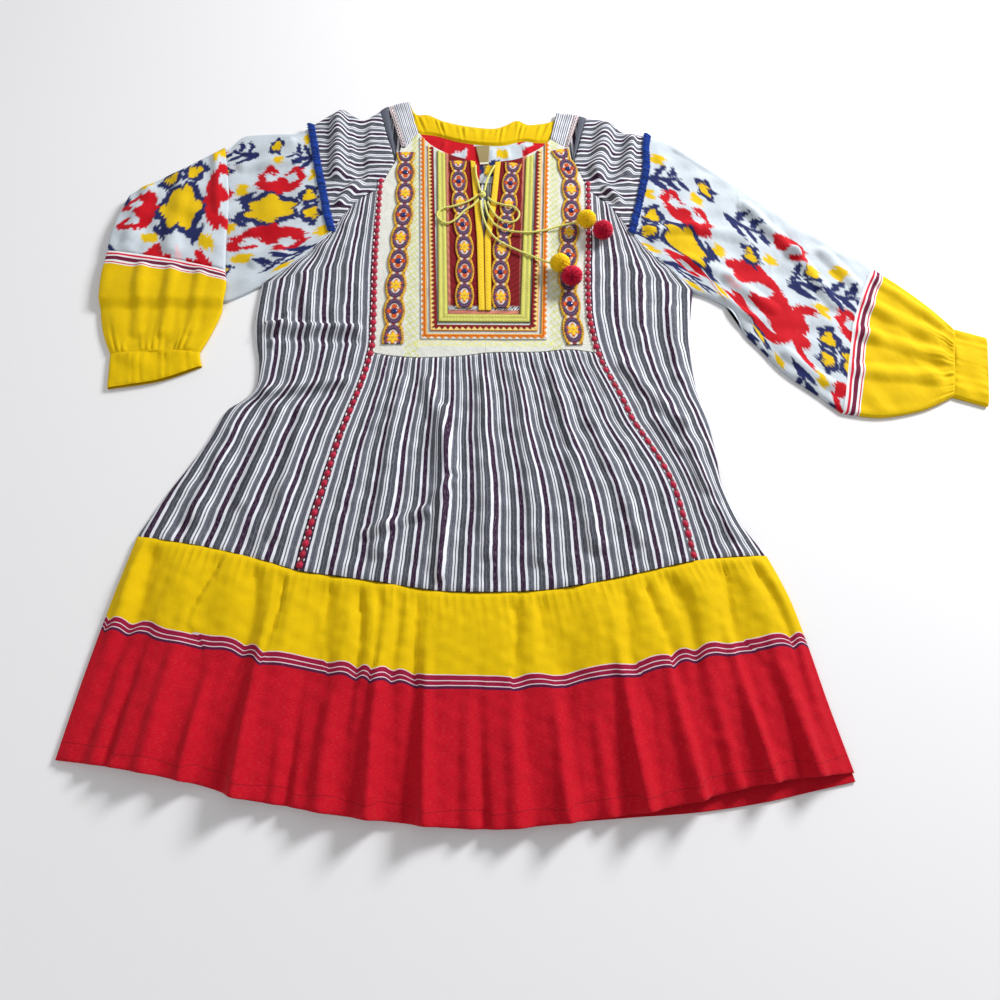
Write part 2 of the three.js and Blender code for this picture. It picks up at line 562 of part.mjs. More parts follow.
// Shoulders: narrow strips beside the neck, then the striped shoulder piece with its stripes across
function makeShoulders() {
  for (const { side, top, low } of NECK_STRIPS) {
    const [neck, inner, outer, arm] = rows("x y", top);
    const [neckLow, innerLow, outerLow, end] = rows("x y", low);
    const tipInner = { x: end.x - TIP_WIDTH * Math.sign(end.x), y: end.y + TIP_SLANT };
    const strip = (name, a, b, c, d, material) => {
      const place = patch([a, b], [c, d], [a, c], [b, d]);
      frontPanel(`${name}_${side}`, place, steps(2), steps(4, CROWDED), NO_FOLDS, material);
    };
    strip("yoke_strip", neck, inner, neckLow, innerLow, STRIPES);
    strip("shoulder_braid", inner, outer, innerLow, outerLow, DARK);
    strip("shoulder_binding", outer, arm, tipInner, end, DARK);
  }
  const left = patch(SHOULDER_TOP_LEFT, MITRE_LEFT, BINDING_OUTER_LEFT, ARM_LEFT);
  const right = patch(SHOULDER_TOP_RIGHT, MITRE_RIGHT, BINDING_OUTER_RIGHT, ARM_RIGHT);
  frontPanel("shoulder_left", left, SHARED_ACROSS, SHOULDER_ALONG, SHOULDER_FOLDS, STRIPES);
  frontPanel("shoulder_right", right, SHARED_ACROSS, SHOULDER_ALONG, SHOULDER_FOLDS, STRIPES);
}

const TIER_GAP = { end: 2 * SEAM };
const SKIRT_GAP = { end: 2 * SEAM, sides: 2 * SEAM };
const SIDE_ALONG = steps(17);
const SKIRT_ALONG = steps(11);
const PRINCESS_BREAK = -4; // where the princess seams pass the bib's lower corners

// Cuts a table of points off the tier seam between two places
function seamBetween(from, to) {
  const inside = TIER_SEAM.filter(({ x }) => x > from.x + 5 && x < to.x - 5);
  return [from, ...inside, to];
}

function makeFront() {
  const outerLeft = chained(UNDERARM_LEFT, SIDE_LEFT);
  const outerRight = chained(UNDERARM_RIGHT, SIDE_RIGHT);
  const seamLeft = seamBetween(SIDE_LEFT.at(-1), PRINCESS_LEFT.at(-1)).reverse();
  const seamRight = seamBetween(PRINCESS_RIGHT.at(-1), SIDE_RIGHT.at(-1));
  const left = patch(MITRE_LEFT, seamLeft, PRINCESS_LEFT, outerLeft);
  const right = patch(MITRE_RIGHT, seamRight, PRINCESS_RIGHT, outerRight);
  frontPanel("side_front_left", left, SHARED_ACROSS, SIDE_ALONG, BODY_FOLDS, STRIPES, TIER_GAP);
  frontPanel("side_front_right", right, SHARED_ACROSS, SIDE_ALONG, BODY_FOLDS, STRIPES, TIER_GAP);
  const below = (table) => table.filter(({ y }) => y <= PRINCESS_BREAK);
  const seam = seamBetween(PRINCESS_LEFT.at(-1), PRINCESS_RIGHT.at(-1));
  const centre = patch(BIB_BOTTOM, seam, below(PRINCESS_LEFT), below(PRINCESS_RIGHT));
  frontPanel("centre_skirt", centre, steps(BIB_STEPS), SKIRT_ALONG, BODY_FOLDS, STRIPES, SKIRT_GAP);
}

// Bottom tier: gathers along the seam, and folds that open out towards the hem
const HEM_LEVEL = 3.6;
const GATHER_RISE = 1.1;
const GATHER_REACH = 0.2; // share of the tier over which the gathers fade out
const GATHER_START = 0.05; // and over which they rise from the seam
const PUFF_RISE = 1.5; // the gathers lift the cloth over the tier's upper half
const FOLD_NARROW = 0.7; // width of a fold at the seam, as a share of that at the hem
const TIER_ALONG = [0, GATHER_START, 0.15, 0.34, 0.56, 0.78, 1];
const TIER_SIDES = [TIER_LEFT, TIER_RIGHT].map((table) => sampled(table, 12));

function tierTop(place, u, v) {
  const side = Math.min(...TIER_SIDES.map((path) => distanceToPath(place.x, place.y, path)));
  const puff = PUFF_RISE * Math.sin(Math.PI * Math.min(v * 2, 1));
  const level = FRONT_LEVEL + puff - (FRONT_LEVEL - HEM_LEVEL) * smooth(v);
  const hemX = HEM[0].x + (HEM.at(-1).x - HEM[0].x) * u;
  let folds = 0;
  for (const fold of TIER_FOLDS) {
    const grown = smooth((v - fold.reach) / (1 - fold.reach));
    const near = (hemX - fold.x) / (fold.half * THREE.MathUtils.lerp(FOLD_NARROW, 1, v));
    if (Math.abs(near) < 1) folds += fold.rise * grown * (1 - near * near) ** 2;
  }
  const left = 1 - Math.min(side / RIM_ROLL, 1);
  const roll = Math.sqrt(1 - left * left);
  return RIM_LEVEL + (level - RIM_LEVEL) * roll + folds * smooth(side / RIM_ROLL);
}

function makeTier() {
  const across = steps(2 * TIER_GATHERS);
  const place = patch(TIER_SEAM, HEM, TIER_LEFT, TIER_RIGHT);
  const top = raised(drawnIn(planGrid(place, across, TIER_ALONG)), (p, j, i) => {
    const v = TIER_ALONG[j];
    const inside = i > 0 && i < across.length - 1;
    const size = inside ? smooth(1 - v / GATHER_REACH) * smooth(v / GATHER_START) : 0;
    return tierTop(p, across[i], v) + (i % 2 ? 1 : -1) * GATHER_RISE * size;
  });
  add("front_tier", wall(top, lowered(top, CLOTH)), YELLOW);
}

// Sleeves: flattened tubes, rolled over at both sides
const SLEEVE_ROLL = 12;
const WRIST_LEVEL = 5;
const HIDDEN_DROP = 1.2; // the upper stretch lies lower where the sleeve is folded over it
const HIDDEN_FROM = -246;
const HIDDEN_FADE = 22;

function tubeGrid(start, end, near, far, across, along, gaps) {
  return drawnIn(planGrid(patch(start, end, near, far), across, along), gaps);
}

function tubeTop(grid, level, folds) {
  const edges = [grid.map((line) => line[0]), grid.map((line) => line.at(-1))];
  const last = grid.length - 1;
  return raised(grid, (p, j) => {
    const side = Math.min(...edges.map((edge) => distanceToPath(p.x, p.y, edge)));
    const left = 1 - Math.min(side / SLEEVE_ROLL, 1);
    const base = level(p);
    const low = base.floor + RIM_LEVEL;
    const trim = Math.min(...TRIM_PATHS.map((path) => distanceToPath(p.x, p.y, path)));
    const clear = smooth((trim - TRIM_MARGIN) / TRIM_FADE) * smooth(side / SLEEVE_ROLL);
    const rise = foldRise(p.x, p.y, folds) * clear * Math.min(1, j, last - j);
    return low + (base.top - low) * Math.sqrt(1 - left * left) + rise;
  });
}

const ARMHOLE_GAP = { start: 3 * SEAM };
const BORDER_GAP = { start: SEAM };
const FOLD_INSET = { x: 4.8, y: 5.4 }; // from the folded edge back to where the upper stretch ends
const LEFT_ALONG = [0, 0.08, 0.22, 0.38, 0.54, 0.7, 0.86, 1];
const LOWER_ALONG = [0, 0.025, 0.1, 0.22, 0.36, 0.5, 0.66, 0.82, 1];
const RIGHT_ALONG = [0, 0.05, 0.14, 0.24, 0.34, 0.44, 0.54, 0.64, 0.74, 0.87, 1];
const BORDER_ALONG = [0, 0.3, 0.6, 0.88, 1];
const BORDER_ACROSS = steps(2 * CUFF_GATHERS);
const CUFF_ACROSS = steps(8);
const OVERLAP_LEVEL = 5.1; // underside of the folded-down sleeve over the upper one
const OVERLAP_END = 46; // where on the plan it comes back to the floor
const OVERLAP_FADE = 14;

const overlapFloor = (p) => OVERLAP_LEVEL * smooth((p.y - OVERLAP_END) / OVERLAP_FADE);

function makeLeftSleeve() {
  const armhole = chained(ARM_LEFT, UNDERARM_LEFT);
  const foldInside = LEFT_FOLD.map(({ x, y }) => ({ x: x + FOLD_INSET.x, y: y - FOLD_INSET.y }));
  const top = [...LEFT_UPPER_TOP.slice(0, -1), foldInside[0]];
  const low = [...LEFT_UPPER_LOW.slice(0, -1), foldInside.at(-1)];
  const across = steps(9, 0.6);
  const upperGrid = tubeGrid(armhole, foldInside, top, low, across, LEFT_ALONG, ARMHOLE_GAP);
  const hidden = (p) => smooth((HIDDEN_FROM - p.x) / HIDDEN_FADE);
  const upperLevel = (p) => ({ floor: 0, top: FRONT_LEVEL - HIDDEN_DROP * hidden(p) });
  const upperTop = tubeTop(upperGrid, upperLevel, SLEEVE_LEFT_FOLDS);
  add("sleeve_left_upper", sleeve(upperTop, raised(upperGrid, () => 0)), IKAT);

  const lowerGrid = tubeGrid(LEFT_FOLD, LEFT_LINES, LEFT_LOWER_RIGHT, LEFT_LOWER_LEFT, across, LOWER_ALONG);
  const lowerLevel = () => ({ floor: OVERLAP_LEVEL, top: OVERLAP_LEVEL + WRIST_LEVEL });
  const lowerTop = tubeTop(lowerGrid, lowerLevel, SLEEVE_LOWER_FOLDS);
  lowerTop[0].forEach((p) => { p.z = OVERLAP_LEVEL + RIM_LEVEL; });
  const lowerFloor = (p, j) => (j === 0 ? SEAM : overlapFloor(p));
  add("sleeve_left_lower", sleeve(lowerTop, raised(lowerGrid, lowerFloor), true), IKAT);

  const borderGrid = tubeGrid(
    LEFT_LINES, LEFT_WRIST, LEFT_BORDER_RIGHT, LEFT_BORDER_LEFT, BORDER_ACROSS, BORDER_ALONG, BORDER_GAP);
  const borderLevel = (p) => ({ floor: overlapFloor(p), top: overlapFloor(p) + WRIST_LEVEL });
  const borderTop = gathered(tubeTop(borderGrid, borderLevel, BORDER_LEFT_FOLDS));
  add("sleeve_left_border", sleeve(borderTop, raised(borderGrid, overlapFloor)), YELLOW);
  makeCuff("cuff_left", LEFT_WRIST, LEFT_CUFF_END, LEFT_CUFF_RIGHT, LEFT_CUFF_LEFT);
}

function makeRightSleeve() {
  const armhole = chained(ARM_RIGHT, UNDERARM_RIGHT);
  const across = steps(11, 0.6);
  const grid = tubeGrid(armhole, RIGHT_LINES, RIGHT_TOP, RIGHT_LOW, across, RIGHT_ALONG, ARMHOLE_GAP);
  const top = tubeTop(grid, () => ({ floor: 0, top: FRONT_LEVEL }), SLEEVE_RIGHT_FOLDS);
  add("sleeve_right", sleeve(top, raised(grid, () => 0)), IKAT);
  const borderGrid = tubeGrid(
    RIGHT_LINES, RIGHT_WRIST, RIGHT_BORDER_TOP, RIGHT_BORDER_LOW, BORDER_ACROSS, BORDER_ALONG, BORDER_GAP);
  const borderTop = gathered(tubeTop(borderGrid, () => ({ floor: 0, top: FRONT_LEVEL }), BORDER_RIGHT_FOLDS));
  add("sleeve_right_border", sleeve(borderTop, raised(borderGrid, () => 0)), YELLOW);
  makeCuff("cuff_right", RIGHT_WRIST, RIGHT_CUFF_END, RIGHT_CUFF_TOP, RIGHT_CUFF_LOW);
}

// Gathers into the cuff: the rows before the last stand in small waves
const CUFF_GATHER_RISE = 1.3;
const CUFF_GATHER_FADE = 0.9;

function gathered(top) {
  const last = top.length - 1;
  for (const [row, rise] of [[last - 1, CUFF_GATHER_RISE], [last - 2, CUFF_GATHER_FADE]]) {
    top[row].forEach((p, i) => {
      if (i % 2 && i > 0 && i < top[row].length - 1) p.z += rise;
    });
  }
  return top;
}

function makeCuff(name, start, end, near, far) {
  const grid = tubeGrid(start, end, near, far, CUFF_ACROSS, steps(2));
  const top = tubeTop(grid, () => ({ floor: 0, top: WRIST_LEVEL }), NO_FOLDS);
  add(name, sleeve(top, raised(grid, () => 0)), YELLOW);
}

// Trims along the seams
const BEAD_HALF = 3.4;
const BEAD_NECK = 2.1;
const BEAD_CROWN = 1.4;
const RIBBON_CROWN = 0.7;
const TRIM_HALF = 4.3;
const TUFT_OUT = 0.9;
const TUFT_IN = -0.3;
const TUFT_CLOTH = 1.4;
const TUFT_CROWN = 1.6;
const TUFT_LOW = 0.7; // share of the crown between tufts
const SIDES = ["left", "right"];
const LACE_PATHS = {
  left: [{ x: -121, y: 234 }, ...PRINCESS_LEFT],
  right: [{ x: 119.5, y: 234 }, ...PRINCESS_RIGHT],
};
const ARM_PATHS = { left: ARM_LEFT, right: ARM_RIGHT };

function makeTrims() {
  const bead = { left: BEAD_HALF, right: BEAD_HALF, crown: 1 };
  const neck = { left: BEAD_NECK, right: BEAD_NECK, crown: 0 };
  const tuft = { left: TRIM_HALF + TUFT_OUT, right: TRIM_HALF + TUFT_IN, crown: 1 };
  const notch = { left: TRIM_HALF + TUFT_IN, right: TRIM_HALF + TUFT_OUT, crown: TUFT_LOW };
  for (const side of SIDES) {
    const lace = LACE_PATHS[side];
    const end = lace.at(-1);
    const path = [...lace.slice(0, -1), { x: end.x, y: end.y + 1 }];
    const samples = 2 * Math.round(curve(lace).getLength() / BEAD_PITCH);
    const beads = ribbon(path, TRIM_BASE, TRIM_CLOTH, BEAD_CROWN, samples, (_, k) => (k % 2 ? bead : neck));
    add(`bead_trim_${side}`, beads, CRIMSON);
    const arm = ARM_PATHS[side];
    const turns = 2 * Math.round(curve(arm).getLength() / TUFT_PITCH);
    const tufts = ribbon(arm, TRIM_BASE, TUFT_CLOTH, TUFT_CROWN, turns, (_, k) => (k % 2 ? tuft : notch));
    add(`sleeve_trim_${side}`, tufts, BLUE);
  }
}

// Ribbons and braids on the bib
const OUTER_CHAIN = {
  left: rows("x y", [
    [-95, 276], [-94, 242], [-93, 208], [-94, 173], [-96, 134], [-97, 102], [-98, 70], [-98, 40], [-98, 5],
  ]),
  right: rows("x y", [
    [89, 285], [96, 257], [98, 242], [98, 208], [95, 178], [90, 147], [87, 112], [85, 80], [85, 45], [86, 5],
  ]),
};
const INNER_CHAIN = {
  left: rows("x y", [
    [-32.9, 263], [-31.9, 223], [-29.5, 188], [-27, 156], [-25.5, 124], [-25.5, 89], [-26, 50],
  ]),
  right: rows("x y", [
    [32.5, 261], [28.3, 231], [24.4, 193], [19.4, 158], [14.5, 124], [12.8, 92], [12.4, 50],
  ]),
};
const FRAMES = rows("name bottomLeft bottomRight bottom topLeftX topLeftY topRightX topRightY width", [
  ["orange_frame", -69.5, 58, 11.5, -79, 303, 77.6, 298, 6],
  ["maroon_frame", -60.6, 49.1, 21.5, -69.4, 289, 67.6, 285, 7],
  ["neon_frame", -52.7, 41.6, 32, -58, 280, 57.6, 276, 10],
]);
const FRAME_COLOURS = { orange_frame: ORANGE, maroon_frame: MAROON, neon_frame: NEON };
const PLACKETS = {
  placket_left: rows("x y", [
    [-12.6, 262], [-8.4, 193], [-4.6, 144], [-4.6, 47], [-11.2, 47], [-12.2, 144], [-14.7, 193], [-18.6, 264],
  ]),
  placket_right: rows("x y", [
    [10.8, 262], [3.6, 193], [-3.8, 144], [-4.1, 47], [2.1, 47], [3.6, 144], [10.8, 193], [17.6, 263],
  ]),
};

const OUTER_HALF = 11.2;
const INNER_HALF = 8.6;
const SCALLOP_NECK = 0.72; // width between two ovals, as a share of the widest
const OVAL_SAMPLES = 4;
const FRAME_SLANT = 0.6; // slope of the frames' cut upper ends

function chain(table, half) {
  const samples = Math.round((curve(table).getLength() / OVAL_PITCH) * OVAL_SAMPLES);
  return ribbon(table, TRIM_BASE, TRIM_CLOTH, RIBBON_CROWN, samples, (distance) => {
    const swell = Math.abs(Math.sin((Math.PI * distance) / OVAL_PITCH));
    const wide = half * THREE.MathUtils.lerp(SCALLOP_NECK, 1, swell);
    return { left: wide, right: wide, crown: swell };
  });
}

function makeRibbons() {
  for (const side of SIDES) {
    add(`outer_ribbon_${side}`, chain(OUTER_CHAIN[side], OUTER_HALF), PURPLE);
    add(`inner_ribbon_${side}`, chain(INNER_CHAIN[side], INNER_HALF), PURPLE);
  }
  for (const frame of FRAMES) {
    const { bottomLeft, bottomRight, bottom, topLeftX, topLeftY, topRightX, topRightY, width } = frame;
    const outline = rows("x y", [
      [topLeftX, topLeftY], [bottomLeft, bottom], [bottomRight, bottom], [topRightX, topRightY],
      [topRightX - width, topRightY - width * FRAME_SLANT], [bottomRight - width, bottom + width],
      [bottomLeft + width, bottom + width], [topLeftX + width, topLeftY - width * FRAME_SLANT],
    ]);
    add(frame.name, flatPiece(points2(outline), TRIM_BASE, TRIM_CLOTH), FRAME_COLOURS[frame.name]);
  }
  for (const [name, table] of Object.entries(PLACKETS)) {
    add(name, flatPiece(points2(table), TRIM_BASE, TRIM_CLOTH), YELLOW);
  }
}

// Neck cord: from the slit's corners to a bow, two tails, and pompoms
const KNOT = { x: -5, y: 206, z: CORD_LEVEL + 1.6 };
const KNOT_RADIUS = 4.4;
const TIE = {
  tie_strand_left: rows("x y", [[-12.5, 254], [-12.2, 240], [-9.5, 224], [-7.5, 213]]),
  tie_strand_right: rows("x y", [[10, 254], [4, 240], [0, 227], [-2.6, 213]]),
  tie_loop_left: rows("x y", [
    [-10.5, 206], [-22, 196.5], [-38, 189], [-50, 185.5], [-56, 177.5], [-53, 168.5], [-44.5, 163.5],
    [-35, 170], [-26, 182], [-16, 191], [-9.8, 200],
  ]),
  tie_loop_right: rows("x y", [
    [1.0, 203], [8, 196], [19, 192], [30, 189], [36, 180], [33, 170], [25, 166], [15, 169.5],
    [7, 180], [0.5, 196],
  ]),
  tie_tail_upper: rows("x y z", [
    [-3.2, 198.5], [-2, 190], [1, 176], [8, 163], [19, 155], [34, 152], [49, 152], [64, 155],
    [78, 160, 9.3], [91, 163, 10.8], [100.4, 163.4, 13],
  ]),
  tie_tail_lower: rows("x y z", [
    [-7.4, 198], [-6.5, 185], [-4, 170], [1, 155], [8, 143], [17, 135], [30, 127], [44, 119.5],
    [57, 112, 9.8], [67.4, 105.4, 12.3],
  ]),
};
// Each pompom rests on what is under it: the bead lace, the side panel or an oval ribbon
const LACE_TOP = TRIM_BASE + TRIM_CLOTH + BEAD_CROWN;
const RIBBON_TOP = TRIM_BASE + TRIM_CLOTH + RIBBON_CROWN;
const POMPOMS = rows("name x y width rests", [
  ["pompom_yellow_upper", 109.5, 163.5, YELLOW_POMPOM, LACE_TOP],
  ["pompom_crimson_upper", 127, 150, CRIMSON_POMPOM, FRONT_LEVEL],
  ["pompom_yellow_lower", 76, 101.5, YELLOW_POMPOM, RIBBON_TOP],
  ["pompom_crimson_lower", 87.5, 84, CRIMSON_POMPOM, RIBBON_TOP],
]);

function makeTie() {
  for (const [name, table] of Object.entries(TIE)) add(name, cord(table), NEON);
  const knot = new THREE.SphereGeometry(KNOT_RADIUS, 10, 8).scale(1, 1.15, 0.75);
  add("tie_knot", knot, NEON, KNOT.x, KNOT.y, KNOT.z);
  for (const { name, x, y, width, rests } of POMPOMS) {
    const ball = pompom(width);
    ball.computeBoundingBox();
    const material = name.includes("yellow") ? YELLOW : CRIMSON;
    add(name, ball, material, x, y, rests + SEAM - ball.boundingBox.min.z);
  }
}

makeBack();
makeNeck();
makeBib();
makeShoulders();
makeFront();
makeTier();
makeLeftSleeve();
makeRightSleeve();
makeTrims();
makeRibbons();
makeTie();

// The origin is under the middle of the dress's own box, on the floor
const box = new THREE.Box3().setFromObject(dress);
const middle = box.getCenter(new THREE.Vector3());
cloth.position.set(-middle.x, -middle.y, -box.min.z);

export default dress;
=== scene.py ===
"""A tiered peasant midi dress, laid flat on its back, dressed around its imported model.

The tables are in millimetres on the dress's own plan: X runs to the right across it, Y up to the
neck, and Y = 0 is the bib's bottom edge. They repeat the model's own sizes, and heights are in
millimetres over the floor. Cloth is a fine grid over the solids' form, and its UVs are lengths
of cloth in millimetres.
"""

import math
from collections import namedtuple

import bmesh
import bpy
import numpy as np
from mathutils import Matrix, Vector


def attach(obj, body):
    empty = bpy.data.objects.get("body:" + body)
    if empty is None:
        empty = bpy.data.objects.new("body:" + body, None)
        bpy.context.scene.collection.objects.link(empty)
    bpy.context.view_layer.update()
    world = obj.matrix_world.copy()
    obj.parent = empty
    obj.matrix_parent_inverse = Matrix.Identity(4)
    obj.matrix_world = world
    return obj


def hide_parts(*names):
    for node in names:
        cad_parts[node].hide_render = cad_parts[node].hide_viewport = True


bl_info = {
    "name": "Peasant dress laid flat",
    "version": (1, 0, 0),
    "blender": (4, 5, 0),
    "location": "View3D > Sidebar > Dress",
    "description": "Builds a tiered peasant dress, laid flat, around its packed model",
    "category": "Object",
}

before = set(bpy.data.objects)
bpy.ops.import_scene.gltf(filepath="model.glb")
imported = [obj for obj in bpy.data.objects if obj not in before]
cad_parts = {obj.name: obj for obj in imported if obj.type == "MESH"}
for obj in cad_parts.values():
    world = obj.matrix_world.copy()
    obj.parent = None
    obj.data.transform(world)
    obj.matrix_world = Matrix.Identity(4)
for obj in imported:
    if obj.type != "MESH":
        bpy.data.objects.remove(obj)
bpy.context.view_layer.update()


# What a user would change
def screen(red, green, blue):
    """A colour as seen on a screen, 0 to 255, as the linear colour that a shader takes."""
    share = np.array([red, green, blue], float) / 255
    return np.where(share <= 0.04045, share / 12.92, ((share + 0.055) / 1.055) ** 2.4)


def tint(name, words, red, green, blue):
    """A colour that a user may change."""
    return bpy.props.FloatVectorProperty(
        name=name, description=words, default=tuple(screen(red, green, blue)), min=0.0, max=1.0,
        subtype="COLOR")


class DressColours(bpy.types.PropertyGroup):
    stripe_purple: tint("Stripe purple", "Widest stripe of the striped cotton", 50, 20, 52)
    stripe_grey: tint("Stripe grey", "Paler grey of the striped cotton", 100, 103, 114)
    stripe_dark: tint("Stripe dark grey", "Darker grey of the striped cotton", 68, 70, 80)
    stripe_white: tint("Stripe white", "White of the striped cotton", 232, 234, 242)
    yellow: tint("Yellow cotton", "Upper part of the tier, cuffs and lower sleeves", 226, 188, 0)
    red: tint("Red cotton", "Lower part of the tier", 190, 8, 35)
    cream: tint("Cream cotton", "Ground of the bib", 230, 231, 222)
    ikat_white: tint("Ikat white", "Ground of the ikat sleeves", 200, 209, 217)
    ikat_red: tint("Ikat red", "Horns and medallions of the ikat", 192, 14, 30)
    ikat_navy: tint("Ikat navy", "Sprigs and rims of the ikat", 34, 42, 92)
    ikat_yellow: tint("Ikat yellow", "Spots and tulips of the ikat", 222, 184, 14)
    neon: tint("Neon yarn", "Neck cord and inner braid", 236, 234, 124)
    lace: tint("Lace crimson", "Crochet lace along the princess seams", 176, 10, 54)
    tufts: tint("Tuft blue", "Tufted trim along the armholes", 18, 70, 168)
    pompom_yellow: tint("Pompom yellow", "Brightest strands of the yellow pompoms", 255, 216, 6)
    pompom_crimson: tint("Pompom crimson", "Brightest strands of the crimson pompoms", 208, 4, 58)


class DressSizes(bpy.types.PropertyGroup):
    stripe_repeat: bpy.props.FloatProperty(
        name="Stripe repeat", description="Width of one repeat of the stripes, in millimetres",
        default=23.5, min=4.0, max=120.0)
    fold_depth: bpy.props.FloatProperty(
        name="Fold depth", description="Height of the cloth's folds as a share of the solids'",
        default=1.6, min=0.0, max=3.0, subtype="FACTOR")
    crumple: bpy.props.FloatProperty(
        name="Crumple", description="Height of the fine waves in the cloth, in millimetres",
        default=0.9, min=0.0, max=2.0)
    strands: bpy.props.IntProperty(
        name="Pompom strands", description="Strands of yarn in one pompom", default=1500, min=100, max=6000)
    fluff: bpy.props.FloatProperty(
        name="Pompom fluff", description="Width of a pompom's cut ends as a share of its solid",
        default=1.12, min=0.8, max=1.5, subtype="FACTOR")
    cord_turn: bpy.props.FloatProperty(
        name="Cord twist", description="Length of one turn of the neck cord, in millimetres",
        default=5.2, min=2.0, max=20.0)


class DressStage(bpy.types.PropertyGroup):
    key_power: bpy.props.FloatProperty(
        name="Key light", description="Power of the main light", default=56.0, min=0.0, unit="POWER")
    ambient: bpy.props.FloatProperty(
        name="Ambient", description="Strength of the light from all round", default=0.36, min=0.0,
        max=4.0, subtype="FACTOR")


def colour_of(name):
    return np.array(getattr(bpy.context.scene.dress_colours, name))


def sizes():
    return bpy.context.scene.dress_sizes


MM = 0.001
MIDDLE = np.array([60.425, -23.924])  # middle of the dress's own box on the plan

# Cloth and layers
CLOTH = 1.2
SEAM = 0.3
BACK_TOP = CLOTH
LINED_TOP = BACK_TOP + SEAM + CLOTH
RIM_LEVEL = LINED_TOP
FRONT_LEVEL = 5.6
TRIM_BASE = FRONT_LEVEL + SEAM
TRIM_CLOTH = 1.0
RIM_ROLL = 14.0
CORD_WIDTH = 2.5
CORD_LEVEL = 9.0
YELLOW_POMPOM = 20.0
CRIMSON_POMPOM = 21.0
BEAD_PITCH = 9.4
OVAL_PITCH = 33.0
TIER_GATHERS = 42
CUFF_GATHERS = 7
Fold = namedtuple("Fold", "x0 y0 x1 y1 half rise")
TierFold = namedtuple("TierFold", "x reach half rise")


def folds(rows):
    return [Fold(*row) for row in rows]


# Outlines and seams, read down the garment
SIDE_LEFT = [
    (-238, 80), (-239, 38), (-235, 13), (-228, -14), (-227, -42), (-237, -57),
    (-251, -69), (-261, -96), (-274, -123), (-289, -151), (-302, -179), (-307, -191),
]
SIDE_RIGHT = [
    (220, 76), (213, 46), (206, 13), (204, -22), (205, -52), (210, -81),
    (212, -116), (212, -149), (220, -179), (231, -199), (240, -214),
]
ARM_LEFT = [
    (-211, 322), (-205, 294), (-197, 256), (-188, 219), (-179, 180), (-171, 152),
]
ARM_RIGHT = [
    (200, 314), (195, 292), (192, 262), (185, 232), (175, 198), (162, 155),
]
UNDERARM_LEFT = [(-171, 152), (-190, 127), (-214, 102), (-238, 80)]
UNDERARM_RIGHT = [(162, 155), (179, 129), (199, 102), (220, 76)]
MITRE_LEFT = [(-122, 219), (-139, 207), (-155, 188), (-171, 152)]
MITRE_RIGHT = [(118, 219), (134, 206), (149, 182), (162, 155)]
PRINCESS_LEFT = [
    (-122, 219), (-122, 145), (-121, 96), (-119, 46), (-118, 10), (-119, -4), (-124, -33),
    (-132, -63), (-143, -103), (-151, -142), (-158, -175), (-166, -223),
]
PRINCESS_RIGHT = [
    (118, 219), (112, 145), (107, 96), (104, 46), (106, 16), (109, -4), (114, -23),
    (126, -53), (135, -80), (146, -102), (158, -127), (167, -157), (174, -218),
]
SHOULDER_TOP_LEFT = [
    (-130, 351), (-139, 342), (-150, 334), (-164, 344), (-177, 353), (-190, 343), (-211, 322),
]
SHOULDER_TOP_RIGHT = [
    (127, 346), (149, 342), (161, 335), (168, 323), (184, 319), (200, 314),
]
BINDING_OUTER_LEFT = [(-130, 351), (-116, 294), (-108, 262), (-113.5, 246), (-122, 219)]
BINDING_OUTER_RIGHT = [(127, 346), (113.6, 294), (105, 262), (110.6, 248), (118, 219)]
TIER_SEAM = [
    (-307, -191), (-248, -201), (-199, -213), (-166, -223), (-99, -233), (-50, -241), (0, -243),
    (49, -241), (99, -233), (149, -223), (174, -218), (207, -215), (240, -214),
]
HEM = [
    (-330, -362), (-278, -369), (-224, -380), (-189, -390), (-149, -397), (-114, -403), (-50, -411),
    (0, -414), (50, -411), (99, -407), (149, -399), (199, -390), (238, -386), (273, -384),
]
HEM_BACK = [
    (-331, -361), (-278, -368), (-224, -379), (-149, -396), (-50, -410), (0, -413),
    (50, -411), (99, -409), (149, -407), (199, -402), (236, -396), (273, -390),
]
TIER_LEFT = [(-307, -191), (-316, -245), (-324, -305), (-330, -362)]
TIER_RIGHT = [(240, -214), (252, -250), (259, -290), (265, -335), (273, -384)]
BIB_BOTTOM = [
    (-119, -4), (-99, -8), (-70, -10), (-30, -8), (0, -4), (49, -3), (79, 0), (109, -4),
]
FRONT_NECK_LEFT = [(-81, 311), (-66, 291), (-45, 276), (-25, 268), (-13, 263)]
FRONT_NECK_RIGHT = [(11, 263), (39, 270), (59, 283), (72, 294), (79, 304)]
BACK_NECK = [
    (-94, 366), (-85, 347), (-70, 346), (-50, 335), (-20, 327), (10, 324), (25, 330),
    (40, 339), (55, 332), (84, 339), (90, 353),
]
FACING_LOWER = [
    (-88, 318), (-80, 312), (-60, 309), (-35, 300), (-10, 295), (20, 294), (45, 302), (62, 300), (84, 300),
]
LEFT_UPPER_TOP = [
    (-211, 322), (-224, 309), (-248, 307), (-273, 305), (-289, 301), (-297, 289), (-303, 277),
]
LEFT_UPPER_LOW = [
    (-238, 80), (-256, 68), (-276, 59), (-310, 62), (-345, 90), (-378, 140), (-393, 199),
]
LEFT_FOLD = [(-307, 281), (-352, 242), (-397, 203)]
LEFT_LOWER_RIGHT = [(-307, 281), (-297, 239), (-288, 190), (-283, 141), (-277, 95)]
LEFT_LOWER_LEFT = [(-397, 203), (-404, 165), (-405, 140), (-403, 120)]
LEFT_LINES = [(-277, 95), (-335, 109), (-403, 120)]
LEFT_BORDER_RIGHT = [(-277, 95), (-273, 74), (-275, 43), (-282, 14), (-288, -3)]
LEFT_BORDER_LEFT = [(-403, 120), (-402, 88), (-396, 52), (-386, 20), (-373, -6)]
